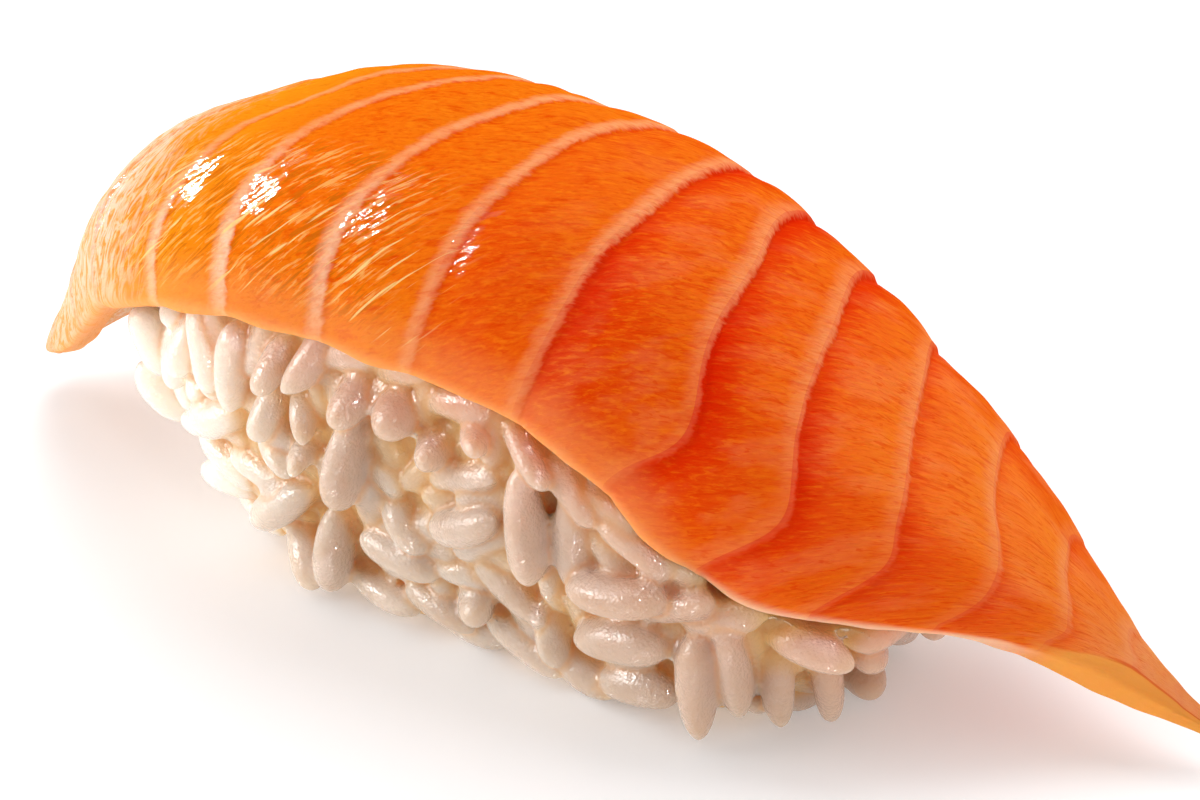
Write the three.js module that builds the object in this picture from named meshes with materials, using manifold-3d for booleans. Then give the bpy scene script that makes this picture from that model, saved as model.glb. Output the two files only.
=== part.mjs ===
// A salmon nigiri: a hand-pressed bed of short-grain rice with a slice of salmon draped over it.
// Millimetres, +Z up. X runs along the slice, from its blunt end to its thin tail, and Y across it.
// The bed stands on Z = 0, and the origin is under the middle of the whole piece.
import * as THREE from "three";
import { mergeVertices } from "three/addons/utils/BufferGeometryUtils.js";
import Module from "manifold-3d";

const wasm = await Module();
wasm.setup();

// ---- Driving dimensions -------------------------------------------------------------------------

const SLICE_LENGTH = 90; // tip to tip, as it lies
const CREST_HEIGHT = 31; // top of the slice's smooth face above the board
const SLICE_HALF_WIDTH = 19.5; // from the crest line to a long edge, laid flat
const SLICE_THICKNESS = 5.2; // at the crest line
const EDGE_THICKNESS = 2.3; // height of the cut face along the long edges
const FIT_GAP = 0.32; // clearance between the slice's underside and the rice

const BED_CENTRE_X = 0.1;
const BED_CENTRE_Y = -0.6;
const BED_HALF_LENGTH = 27.6; // of the core, without the grains on it
const BED_HALF_WIDTH = 12.2;
const BED_WIDEST_HEIGHT = 14; // where the core is widest
const BED_DOME_HEIGHT = 31; // where its sides would meet, had it no slice on it
const BED_END_TAPER = 0.29; // share of the half length that is lost down at the board
const BED_SIDE_TAPER = 0.21;
const BED_PLAN_POWER = 3.4; // 2 is an ellipse, and more is a fuller end
const BED_DOME_POWER = 2.4;

const GRAIN_LENGTH = 6.5;
const GRAIN_WIDTH = 2.7;

// ---- The slice's lines, at evenly spaced stations from the blunt end to the tail -----------------

const ALONG = [-0.5, -0.44, -0.362, -0.21, -0.061, 0.104, 0.252, 0.397, 0.496]; // x, of the length
const RISE = [0.123, 0.39, 0.739, 0.948, 1, 0.903, 0.616, 0.255, 0.087]; // z, of the crest height
const SWAY = [0, 0, 0, 0, 0, 0.5, 1.6, 3.3, 3.9]; // y of the crest line, mm
const BREADTH = [0.108, 0.513, 0.785, 0.969, 1, 0.933, 0.867, 0.205, 0.02]; // of the half width
const FOLD = [39, 67, 82, 68, 76, 75, 77, 21, 0]; // slope of the long edges, degrees
const BODY = [0.25, 0.6, 0.86, 1, 1, 1, 0.86, 0.55, 0.16]; // of the crest thickness
const EDGE_FACE = [0.5, 0.85, 1, 1, 1, 0.95, 0.95, 1.15, 0.3]; // of the edge thickness
const SECTION_LEAN = 0.45; // 0 hangs each section upright, 1 keeps it square to the crest line
const FOLD_POWER = 1.35; // how late across the section the fold sets in
const THINNING_POWER = 2.2; // how late across it the slice thins towards its edges

// ---- The white lines between the flakes, as shares of the way along the crest --------------------

const SEAMS = [
  0.1, 0.2, 0.29, 0.373, 0.427, 0.492, 0.544, 0.6, 0.655, 0.705, 0.758, 0.808, 0.853, 0.904, 0.95,
];
const SEAM_BOW = [0, -0.02, -0.04, -0.045, -0.018, 0.009, 0.027, 0.012, 0]; // share along, by station
const BOW_REACH = 2.3; // radians of the bow's sine from the crest to a long edge
const FLAKE_STEP = [0.05, 0.1, 0.15, 0.2, 0.28, 0.42, 0.5, 0.35, 0.05]; // drop past each line, mm
const FLAKE_DOME = [0.05, 0.1, 0.2, 0.25, 0.25, 0.25, 0.25, 0.15, 0]; // swell of each flake, mm
const STEP_SHARE = 0.14; // of a flake, taken by the drop
const CLIMB_POWER = 1.4; // how late in the flake it climbs to the next line
const EDGE_CALM = 0.4; // share of the relief that is lost towards the long edges
const SCALLOP = 0.012; // how far each flake swells past the long edge, of the half width

// ---- Small helpers ------------------------------------------------------------------------------

const lerp = THREE.MathUtils.lerp;
const clamp = THREE.MathUtils.clamp;

// A smooth curve through evenly spaced values (Catmull-Rom), at share 0..1.
function smooth(values, share) {
  const last = values.length - 1;
  const place = clamp(share, 0, 1) * last;
  const i = Math.min(Math.floor(place), last - 1);
  const f = place - i;
  const b = values[i];
  const c = values[i + 1];
  const a = i > 0 ? values[i - 1] : 2 * b - c;
  const d = i < last - 1 ? values[i + 2] : 2 * c - b;
  return 0.5 * (2 * b + (c - a) * f + (2 * a - 5 * b + 4 * c - d) * f * f + (3 * b - a - 3 * c + d) * f ** 3);
}

const smoothstep = (x) => clamp(x, 0, 1) ** 2 * (3 - 2 * clamp(x, 0, 1));

// The same numbers on every run: each call gives the next one in 0..1.
function randomSource(seed) {
  let state = seed;
  return () => {
    state = (state * 16807) % 2147483647;
    return state / 2147483647;
  };
}

function geometryOf(points, triangles) {
  const geometry = new THREE.BufferGeometry();
  const numbers = points.flatMap((point) => [point.x, point.y, point.z]);
  geometry.setAttribute("position", new THREE.Float32BufferAttribute(numbers, 3));
  geometry.setIndex(triangles);
  return geometry;
}

function solidOf(geometry) {
  const bare = geometry.clone();
  bare.deleteAttribute("normal");
  bare.deleteAttribute("uv");
  const merged = mergeVertices(bare, 1e-4);
  return new wasm.Manifold(
    new wasm.Mesh({
      numProp: 3,
      vertProperties: merged.attributes.position.array,
      triVerts: new Uint32Array(merged.index.array),
    }),
  );
}

function largestPiece(solid) {
  return solid.decompose().reduce((best, piece) => (piece.volume() > best.volume() ? piece : best));
}

function geometryFrom(solid) {
  const mesh = solid.getMesh();
  const geometry = new THREE.BufferGeometry();
  geometry.setAttribute("position", new THREE.BufferAttribute(mesh.vertProperties, 3));
  geometry.setIndex(new THREE.BufferAttribute(mesh.triVerts, 1));
  geometry.computeVertexNormals();
  return geometry;
}

// Closed rings of equal length, joined one to the next, with a flat cap at each end. Every ring runs the
// same way round, and holds its upper points first and then its lower points back again, so a cap is a
// strip between them.
function skinRings(rings) {
  const count = rings[0].length;
  const triangles = [];
  for (let i = 0; i + 1 < rings.length; i++) {
    for (let j = 0; j < count; j++) {
      const a = i * count + j;
      const b = i * count + ((j + 1) % count);
      triangles.push(a, b + count, b, a, a + count, b + count);
    }
  }
  const lastRing = (rings.length - 1) * count;
  for (let j = 0; j + 1 < count / 2; j++) {
    const upper = [j, j + 1];
    const lower = [count - 1 - j, count - 2 - j];
    triangles.push(upper[0], lower[1], lower[0], upper[0], upper[1], lower[1]);
    triangles.push(lastRing + upper[0], lastRing + lower[0], lastRing + lower[1]);
    triangles.push(lastRing + upper[0], lastRing + lower[1], lastRing + upper[1]);
  }
  return geometryOf(rings.flat(), triangles);
}

// ---- The salmon slice ---------------------------------------------------------------------------

const SECTION_STEPS = 24; // of the sum that follows the fold from the crest to an edge
const SHARE_STEP = 1e-3; // for slopes along and across the face

// A point of the slice's smooth upper face. share runs 0..1 along the crest line, and across -1..1 from
// the near edge to the far one. The section falls away from the crest at a slope that grows towards its
// edges.
function facePoint(share, across) {
  const x = smooth(ALONG, share) * SLICE_LENGTH;
  const z = smooth(RISE, share) * CREST_HEIGHT;
  const ahead = Math.min(share + SHARE_STEP, 1);
  const behind = Math.max(share - SHARE_STEP, 0);
  const run = (smooth(ALONG, ahead) - smooth(ALONG, behind)) * SLICE_LENGTH;
  const climb = (smooth(RISE, ahead) - smooth(RISE, behind)) * CREST_HEIGHT;
  const up = new THREE.Vector2(-climb * SECTION_LEAN, run).normalize();
  const edgeSlope = THREE.MathUtils.degToRad(smooth(FOLD, share));
  const stride = (Math.abs(across) * smooth(BREADTH, share) * SLICE_HALF_WIDTH) / SECTION_STEPS;
  let out = 0;
  let down = 0;
  for (let k = 0; k < SECTION_STEPS; k++) {
    const slope = edgeSlope * ((Math.abs(across) * (k + 0.5)) / SECTION_STEPS) ** FOLD_POWER;
    out += Math.cos(slope) * stride;
    down += Math.sin(slope) * stride;
  }
  return new THREE.Vector3(x - up.x * down, smooth(SWAY, share) + Math.sign(across) * out, z - up.y * down);
}

function faceNormal(share, across) {
  const ahead = facePoint(Math.min(share + SHARE_STEP, 1), across);
  const along = ahead.sub(facePoint(Math.max(share - SHARE_STEP, 0), across));
  const over = facePoint(share, across + SHARE_STEP).sub(facePoint(share, across - SHARE_STEP));
  return along.cross(over).normalize();
}

// Where the white line number seam crosses at this place across the slice. Lines 0 and SEAMS.length + 1
// are the slice's ends.
function seamShare(seam, across) {
  if (seam <= 0) return 0;
  if (seam > SEAMS.length) return 1;
  const share = SEAMS[seam - 1];
  return share - smooth(SEAM_BOW, share) * Math.sin(BOW_REACH * across);
}

// How far the flakes stand out of the smooth face: each drops past its line, swells, and climbs towards
// the next one.
function flakeRelief(share, within, across) {
  const drop = 1 - smoothstep(within / STEP_SHARE);
  const climb = clamp((within - STEP_SHARE) / (1 - STEP_SHARE), 0, 1) ** CLIMB_POWER;
  const step = smooth(FLAKE_STEP, share) * (within < STEP_SHARE ? drop : climb);
  const dome = smooth(FLAKE_DOME, share) * Math.sin(Math.PI * within);
  return (step + dome) * (1 - EDGE_CALM * across ** 4);
}

// The slice's thickness, from the crest line out to the cut face at its long edges.
function thicknessAt(share, across) {
  const middle = smooth(BODY, share) * SLICE_THICKNESS;
  const edge = Math.min(smooth(EDGE_FACE, share) * EDGE_THICKNESS, middle);
  return lerp(middle, edge, Math.min(Math.abs(across), 1) ** THINNING_POWER);
}

// One ring of the slice, the share within of the way from line seam to the next: its upper face from the
// near edge to the far one, and its underside back again. All of it is moved outward by grow.
function sliceRing(seam, within, points, grow) {
  const upper = [];
  const under = [];
  for (let j = 0; j < points; j++) {
    const across = lerp(-1, 1, j / (points - 1));
    const share = lerp(seamShare(seam, across), seamShare(seam + 1, across), within);
    const halfWidth = smooth(BREADTH, share) * SLICE_HALF_WIDTH;
    const swell = 1 + (SCALLOP * Math.sin(Math.PI * within) + grow / halfWidth) * across ** 2;
    const face = facePoint(share, across * swell);
    const normal = faceNormal(share, across * swell);
    under.unshift(face.clone().addScaledVector(normal, -thicknessAt(share, across) - grow));
    upper.push(face.addScaledVector(normal, flakeRelief(share, within, across) + grow));
  }
  return [...upper, ...under];
}

// Rings from the blunt end to the tail, which follow the white lines so that each drop is crisp.
function sliceRings(stepsInFlake, points, grow = 0) {
  const rings = [];
  for (let seam = 0; seam <= SEAMS.length; seam++) {
    for (const within of stepsInFlake) rings.push(sliceRing(seam, within, points, grow));
  }
  rings.push(sliceRing(SEAMS.length, 1, points, grow));
  return rings;
}

const FLAKE_STEPS = [0, STEP_SHARE, 0.42, 0.74]; // columns of each flake in the solid
const ACROSS_POINTS = 15;
const slice = solidOf(skinRings(sliceRings(FLAKE_STEPS, ACROSS_POINTS)));

const CLEARED_ABOVE = 14; // more than any of the core that stands over the slice

// All the room above the rice: the slice with its skin moved out by the gap, and what lies over that.
function headroom() {
  const grown = sliceRings(FLAKE_STEPS, ACROSS_POINTS, FIT_GAP);
  const above = grown.map((ring) => {
    const top = ring.slice(0, ACROSS_POINTS);
    const raised = top.map((point) => point.clone().setZ(point.z + CLEARED_ABOVE));
    const sunk = top.map((point) => point.clone().setZ(point.z - FIT_GAP));
    return [...raised, ...sunk.reverse()];
  });
  return solidOf(skinRings(grown)).add(solidOf(skinRings(above)));
}

// ---- The rice bed's core ------------------------------------------------------------------------

// A point on the core at a height, at an angle round it from +X.
function bedPoint(angle, z) {
  const c = Math.cos(angle);
  const s = Math.sin(angle);
  const plan = (Math.abs(c) ** BED_PLAN_POWER + Math.abs(s) ** BED_PLAN_POWER) ** (-1 / BED_PLAN_POWER);
  const below = clamp(1 - z / BED_WIDEST_HEIGHT, 0, 1) ** 2;
  const above = clamp((z - BED_WIDEST_HEIGHT) / (BED_DOME_HEIGHT - BED_WIDEST_HEIGHT), 0, 1);
  const r = plan * (1 - above ** BED_DOME_POWER) ** (1 / BED_DOME_POWER);
  const x = BED_CENTRE_X + BED_HALF_LENGTH * r * c * (1 - BED_END_TAPER * below);
  const y = BED_CENTRE_Y + BED_HALF_WIDTH * r * s * (1 - BED_SIDE_TAPER * below);
  return new THREE.Vector3(x, y, z);
}

const BED_STEP = 1e-3; // for slopes round and up the core

function bedNormal(angle, z) {
  const round = bedPoint(angle + BED_STEP, z).sub(bedPoint(angle - BED_STEP, z));
  const rise = bedPoint(angle, z + BED_STEP).sub(bedPoint(angle, z - BED_STEP));
  return round.cross(rise).normalize();
}

const BED_ROUND = 36; // faces round the core
const BED_LEVELS = 9; // and up it

function bedCore() {
  const points = [];
  const triangles = [];
  for (let level = 0; level < BED_LEVELS; level++) {
    for (let k = 0; k < BED_ROUND; k++) {
      points.push(bedPoint((2 * Math.PI * k) / BED_ROUND, (level / BED_LEVELS) * BED_DOME_HEIGHT));
    }
  }
  const foot = points.push(new THREE.Vector3(BED_CENTRE_X, BED_CENTRE_Y, 0)) - 1;
  const peak = points.push(new THREE.Vector3(BED_CENTRE_X, BED_CENTRE_Y, BED_DOME_HEIGHT)) - 1;
  for (let k = 0; k < BED_ROUND; k++) {
    const next = (k + 1) % BED_ROUND;
    triangles.push(foot, next, k);
    for (let level = 0; level + 1 < BED_LEVELS; level++) {
      const a = level * BED_ROUND;
      const b = a + BED_ROUND;
      triangles.push(a + k, a + next, b + next, a + k, b + next, b + k);
    }
    const rim = (BED_LEVELS - 1) * BED_ROUND;
    triangles.push(rim + k, rim + next, peak);
  }
  return largestPiece(solidOf(geometryOf(points, triangles)).subtract(headroom()));
}

// ---- The grains that show -----------------------------------------------------------------------

const FLOOR_GAP = 0.05; // kept under the grains

// A grain is tested as a rod with round ends, whose middle line runs half either side of its centre.
function makeGrain(centre, axis, length = GRAIN_LENGTH, width = GRAIN_WIDTH) {
  return { centre, axis, length, width, half: (length - width) / 2 };
}

// The shortest way between two grains' middle lines.
function grainDistance(a, b) {
  const between = b.centre.clone().sub(a.centre);
  const cosine = a.axis.dot(b.axis);
  const alongA = between.dot(a.axis);
  const alongB = between.dot(b.axis);
  const flat = Math.max(1 - cosine * cosine, 1e-6);
  let s = clamp((alongA - cosine * alongB) / flat, -a.half, a.half);
  const t = clamp(cosine * s - alongB, -b.half, b.half);
  s = clamp(cosine * t + alongA, -a.half, a.half);
  return between.addScaledVector(b.axis, t).addScaledVector(a.axis, -s).length();
}

function distanceToPoint(grain, point) {
  const between = point.clone().sub(grain.centre);
  const s = clamp(between.dot(grain.axis), -grain.half, grain.half);
  return between.addScaledVector(grain.axis, -s).length();
}

// Points over the slice's underside, which the grains stay below and clear of.
const FEELER_POINTS = 31; // across the slice
const FEELER_STEPS = [0.1, 0.3, 0.5, 0.7, 0.9]; // along each flake
const feelers = sliceRings(FEELER_STEPS, FEELER_POINTS).flatMap((ring) => ring.slice(FEELER_POINTS));

function clearOfSlice(grain) {
  let nearest = Infinity;
  let ceiling = 0;
  for (const point of feelers) {
    if (distanceToPoint(grain, point) < grain.width / 2 + FIT_GAP) return false;
    const aside = Math.hypot(point.x - grain.centre.x, point.y - grain.centre.y);
    if (aside < nearest) [nearest, ceiling] = [aside, point.z];
  }
  return grain.centre.z < ceiling;
}

function lowestPoint({ centre, axis, half, width }) {
  return centre.z - half * Math.abs(axis.z) - width / 2;
}

// The grains that stand out on the near side. Each has its middle's place along the bed and its height,
// then its lean from upright towards +X and its pitch out of the face in degrees, then its length, its
// width, and how far its middle stands out of the core.
const NEAR_GRAINS = [
  [-17.5, 15.4, -3, 5, 6.5, 2.6, 0.4],
  [-13.5, 17.6, -8, 45, 6, 2.4, 0],
  [-7.1, 17.4, -8, 50, 6, 2.5, 0],
  [-4, 17.3, 20, 65, 6, 3, -0.6],
  [-7.4, 12.6, -7, 10, 7, 3.1, 0.9],
  [-9.9, 4.6, -7, 0, 6.8, 2.7, 0.9],
  [-14.1, 6.1, -50, 5, 6.8, 2.7, 0.6],
  [-16.6, 7.6, 84, 5, 5.8, 2.4, 0],
  [-11.4, 11.9, 10, 60, 5.6, 2, -0.4],
  [-11.5, 14.8, 26, 40, 5.8, 2.1, -0.4],
  [-14.6, 10.4, 71, 30, 5.8, 2.2, -0.3],
  [-4.5, 6.1, 81, 5, 6.2, 2.5, 0.6],
  [-6.5, 2, 85, 5, 5.8, 2.2, 0.5],
  [-4.2, 9.2, 51, 25, 6, 2.6, -0.4],
  [5.8, 17.3, 57, 25, 5.6, 2, 0.2],
  [8.8, 15.6, 54, 15, 5.4, 2.1, 0],
  [1.4, 11.1, 118, 8, 6.2, 2.5, 0.8],
  [1, 13.9, 112, 10, 6.2, 2.2, 0],
  [6.2, 12.7, 8, 3, 7.8, 2.9, 1.1],
  [1.7, 17.2, 91, 55, 5.6, 2, -0.2],
  [-1.4, 15.6, 40, 70, 5.8, 2.4, -0.8],
  [9, 12.3, 2, 5, 6.6, 2.6, 0],
  [13.4, 13.2, 66, 5, 5.8, 2, 0.2],
  [12.5, 10.2, 100, 5, 7.4, 2.8, 1],
  [12.2, 5.9, 104, 5, 7, 3.1, 0.8],
  [16, 9.8, 118, 10, 6, 2.5, 0.2],
  [4.5, 2.2, 70, 5, 6.2, 2.3, 0.6],
  [6.7, 4.6, 15, 15, 5.8, 2.2, -0.2],
  [4, 6.6, 62, 5, 6.4, 2.4, 0.2],
  [0.8, 4.6, 85, 55, 5.8, 2.4, -0.2],
  [-1.9, 2.8, 80, 10, 6, 2.2, 0.5],
  [8.8, 1.8, 75, 10, 5.6, 2.4, 0.4],
  [12.6, 2.2, 100, 5, 6, 2.7, 0.8],
  [17.1, 4.5, 3, 0, 7.6, 3.2, 1.6],
  [19.3, 6.2, 8, 0, 7, 2.4, 0.8],
  [21.2, 4.4, 2, 0, 6, 2.3, 0.5],
  [22.9, 4.2, 8, 0, 6, 2.4, 0.5],
];

const HALVINGS = 30;

// The angle round the core at which its near side has this x, found by halving.
function nearAngle(x, z) {
  let low = -Math.PI;
  let high = 0;
  for (let n = 0; n < HALVINGS; n++) {
    const middle = (low + high) / 2;
    if (bedPoint(middle, z).x < x) low = middle;
    else high = middle;
  }
  return (low + high) / 2;
}

function nearGrain([x, z, lean, pitch, length, width, stand]) {
  const angle = nearAngle(x, z);
  const normal = bedNormal(angle, z).setZ(0).normalize();
  const level = new THREE.Vector3(-normal.y, normal.x, 0);
  const leanAngle = THREE.MathUtils.degToRad(lean);
  const pitchAngle = THREE.MathUtils.degToRad(pitch);
  const flat = level.multiplyScalar(Math.sin(leanAngle)).setZ(-Math.cos(leanAngle));
  const axis = flat.multiplyScalar(Math.cos(pitchAngle)).addScaledVector(normal, Math.sin(pitchAngle));
  return makeGrain(bedPoint(angle, z).addScaledVector(normal, stand), axis.normalize(), length, width);
}

const SCATTER_LOWEST = 1.2; // middles of the scattered grains, above the board
const SCATTER_HIGHEST = 25;
const SCATTER_TILT = 0.65; // radians that a grain may tip out of the core's face, either way
const SMALLEST_GRAIN = 0.88; // of the grain size
const LARGEST_GRAIN = 1.08;

// The rest are dropped one after another at random places on the core, and each stays where it has room.
// closeness is how near two grains may lie, in widths, and sunk how deep their middles are in the core.
function scatter(grains, { tries, closeness, sunk, seed }) {
  const random = randomSource(seed);
  for (let n = 0; n < tries; n++) {
    const angle = random() * 2 * Math.PI;
    const z = lerp(SCATTER_LOWEST, SCATTER_HIGHEST, random());
    const turn = random() * Math.PI;
    const tilt = lerp(-SCATTER_TILT, SCATTER_TILT, random());
    const depth = lerp(sunk[0], sunk[1], random());
    const size = lerp(SMALLEST_GRAIN, LARGEST_GRAIN, random());
    const normal = bedNormal(angle, z);
    const level = new THREE.Vector3(-normal.y, normal.x, 0).normalize();
    const steep = normal.clone().cross(level);
    const axis = level.multiplyScalar(Math.cos(turn)).addScaledVector(steep, Math.sin(turn));
    axis.multiplyScalar(Math.cos(tilt)).addScaledVector(normal, Math.sin(tilt));
    const centre = bedPoint(angle, z).addScaledVector(normal, -depth);
    const grain = makeGrain(centre, axis.normalize(), GRAIN_LENGTH * size, GRAIN_WIDTH * size);
    if (lowestPoint(grain) < FLOOR_GAP) continue;
    const crowded = grains.some((other) => {
      return grainDistance(grain, other) < (closeness * (grain.width + other.width)) / 2;
    });
    if (!crowded && clearOfSlice(grain)) grains.push(grain);
  }
}

const GRAIN_SIDES = 5;
// The outline of a plump grain with one blunter end: its radius as a share of its width, and the place as
// one of its length.
const GRAIN_PROFILE = [
  [0, -0.5],
  [0.38, -0.3],
  [0.5, 0],
  [0.36, 0.32],
  [0, 0.5],
];

function grainGeometry({ centre, axis, length, width }) {
  const profile = GRAIN_PROFILE.map(([r, y]) => new THREE.Vector2(r * width, y * length));
  const grain = new THREE.LatheGeometry(profile, GRAIN_SIDES);
  const turn = new THREE.Quaternion().setFromUnitVectors(new THREE.Vector3(0, 1, 0), axis);
  return grain.applyQuaternion(turn).translate(centre.x, centre.y, centre.z);
}

const grains = NEAR_GRAINS.map(nearGrain).filter(clearOfSlice);
scatter(grains, { tries: 6000, closeness: 0.86, sunk: [-0.5, 0.3], seed: 2718 });
scatter(grains, { tries: 3000, closeness: 0.66, sunk: [0.7, 1.3], seed: 3141 });

const rice = wasm.Manifold.union([bedCore(), ...grains.map((grain) => solidOf(grainGeometry(grain)))]);

// ---- The two pieces -----------------------------------------------------------------------------

const nigiri = new THREE.Group();

function addPiece(name, solid, material) {
  const mesh = new THREE.Mesh(geometryFrom(solid), new THREE.MeshStandardMaterial(material));
  mesh.name = name;
  nigiri.add(mesh);
}

addPiece("rice_bed", rice, { color: 0xe6d9c8, roughness: 0.45, metalness: 0 });
addPiece("salmon_slice", slice, { color: 0xee6a1e, roughness: 0.3, metalness: 0 });

export default nigiri;
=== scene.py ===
# %% [markdown]
# # Salmon nigiri
# A piece of nigiri is two things: a bed of short-grain rice, pressed into a loaf by hand, and a slice of raw
# salmon laid over it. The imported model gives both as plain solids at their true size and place. Here each
# solid is replaced by a finer mesh of the same form, and both get a finish: wet orange flesh with pale lines
# of fat, and moist, half clear grains. Every size below is in millimetres, and is turned into metres when a
# mesh is made.

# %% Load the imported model
import math
from types import SimpleNamespace

import bpy
import numpy as np
from mathutils import Matrix, Vector


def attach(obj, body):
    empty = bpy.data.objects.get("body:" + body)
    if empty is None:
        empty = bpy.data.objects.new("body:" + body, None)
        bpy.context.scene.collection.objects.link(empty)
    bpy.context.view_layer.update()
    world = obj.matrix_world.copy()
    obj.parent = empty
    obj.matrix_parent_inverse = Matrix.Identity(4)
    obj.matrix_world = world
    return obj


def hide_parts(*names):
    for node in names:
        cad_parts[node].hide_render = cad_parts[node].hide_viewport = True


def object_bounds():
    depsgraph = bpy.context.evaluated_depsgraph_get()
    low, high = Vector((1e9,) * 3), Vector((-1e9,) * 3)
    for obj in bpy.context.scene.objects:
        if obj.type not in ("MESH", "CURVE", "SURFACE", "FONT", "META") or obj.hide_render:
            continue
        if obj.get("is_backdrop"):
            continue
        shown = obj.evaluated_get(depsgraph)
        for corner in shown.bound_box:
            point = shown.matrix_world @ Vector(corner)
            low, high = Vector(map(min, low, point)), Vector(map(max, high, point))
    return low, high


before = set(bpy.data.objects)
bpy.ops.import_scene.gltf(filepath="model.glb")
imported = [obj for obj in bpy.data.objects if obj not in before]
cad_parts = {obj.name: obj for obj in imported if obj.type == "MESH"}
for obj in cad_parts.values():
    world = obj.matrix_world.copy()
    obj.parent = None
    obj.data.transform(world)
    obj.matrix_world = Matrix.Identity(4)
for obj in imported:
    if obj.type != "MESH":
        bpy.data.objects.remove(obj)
cad_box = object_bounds()
MM = 0.001
print("nodes:", sorted(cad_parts))
print("box in mm:", [[round(c / MM, 2) for c in corner] for corner in cad_box])

# %% [markdown]
# ## The camera
# Food is usually shown from the angle of someone about to eat it: a little from above and from one end. A
# long lens held close keeps the slice's outline calm, and still makes the tail, which is nearer, look larger.
# The camera is placed by its bearing and its height above the board, and turned to look at one point.

# %% Place the camera
CAMERA_AZIMUTH = math.radians(34.5)  # round from the long near side, towards the tail
CAMERA_ELEVATION = math.radians(30)
CAMERA_DISTANCE = 200
CAMERA_LENS = 95
CAMERA_AIM = Vector((2.6, -0.55, 14))

bearing = Vector((math.sin(CAMERA_AZIMUTH), -math.cos(CAMERA_AZIMUTH), 0)) * math.cos(CAMERA_ELEVATION)
bearing.z = math.sin(CAMERA_ELEVATION)
camera = bpy.data.objects.new("camera", bpy.data.cameras.new("camera"))
camera.data.lens = CAMERA_LENS
camera.data.clip_start = 0.01
camera.location = (CAMERA_AIM + bearing * CAMERA_DISTANCE) * MM
camera.rotation_euler = bearing.to_track_quat("Z", "Y").to_euler()
bpy.context.scene.collection.objects.link(camera)
bpy.context.scene.camera = camera
print("camera at", [round(c, 4) for c in camera.location])

# %% [markdown]
# ## Smooth lines through a few stations
# The slice is described by a few values, such as its height and its width, at evenly spaced stations from
# the blunt end to the tail. A Catmull-Rom curve runs through them, so a handful of numbers gives a soft form
# with no corners. A sculpted mesh could have the same form, but no single number would then set its size.
# Everything works on whole arrays at once, because a fine mesh has many points.

# %% Curves and steps
def smooth(values, share):
    """A smooth curve through evenly spaced values, at share 0..1."""
    last = len(values) - 1
    place = np.clip(share, 0, 1) * last
    i = np.minimum(np.floor(place).astype(int), last - 1)
    f = place - i
    padded = np.array([2 * values[0] - values[1], *values, 2 * values[-1] - values[-2]], float)
    a, b, c, d = (padded[i + k] for k in range(4))
    return 0.5 * (2 * b + (c - a) * f + (2 * a - 5 * b + 4 * c - d) * f**2 + (3 * b - a - 3 * c + d) * f**3)


def smoothstep(x):
    x = np.clip(x, 0, 1)
    return x * x * (3 - 2 * x)


def lerp(a, b, t):
    return a + (b - a) * t


def unit(vectors):
    return vectors / np.linalg.norm(vectors, axis=-1, keepdims=True)


def ripple(points, wavelength, seed, waves=7):
    """Gentle uneven relief, about -1..1: a few sine waves that run in different directions."""
    rng = np.random.default_rng(seed)
    ways = unit(rng.normal(size=(waves, points.shape[-1])))
    lengths = wavelength * rng.uniform(0.7, 1.5, waves)
    phases = rng.uniform(0, 2 * math.pi, waves)
    return np.sin(points @ (ways / lengths[:, None]).T * 2 * math.pi + phases).sum(-1) / math.sqrt(waves)


print("half way along a rise from 0 to 1:", round(float(smooth([0, 0, 1, 1], 0.5)), 3))

# %% [markdown]
# ## The slice's form
# The slice lies like a thick cloth over the rice. Its crest line climbs from the blunt end, runs over the
# top and comes down to the tail. Across the crest the section starts level and folds down ever more
# steeply, so the long edges hang nearly upright. A flat slab could also be draped over the rice by a cloth
# simulation. A formula is used instead, because it gives the same slice every time, and because the finish
# can find its place by the same two numbers, along and across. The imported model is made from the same
# values.

# %% The slice's stations
SLICE_LENGTH = 90
CREST_HEIGHT = 31
SLICE_HALF_WIDTH = 19.5
SLICE_THICKNESS = 5.2
EDGE_THICKNESS = 2.3
FIT_GAP = 0.32
ALONG = [-0.5, -0.44, -0.362, -0.21, -0.061, 0.104, 0.252, 0.397, 0.496]
RISE = [0.123, 0.39, 0.739, 0.948, 1, 0.903, 0.616, 0.255, 0.087]
SWAY = [0, 0, 0, 0, 0, 0.5, 1.6, 3.3, 3.9]
BREADTH = [0.108, 0.513, 0.785, 0.969, 1, 0.933, 0.867, 0.205, 0.02]
FOLD = [39, 67, 82, 68, 76, 75, 77, 21, 0]
BODY = [0.25, 0.6, 0.86, 1, 1, 1, 0.86, 0.55, 0.16]
EDGE_FACE = [0.5, 0.85, 1, 1, 1, 0.95, 0.95, 1.15, 0.3]
SECTION_LEAN = 0.45
FOLD_POWER = 1.35
THINNING_POWER = 2.2
SECTION_STEPS = 24
SHARE_STEP = 1e-3


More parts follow.
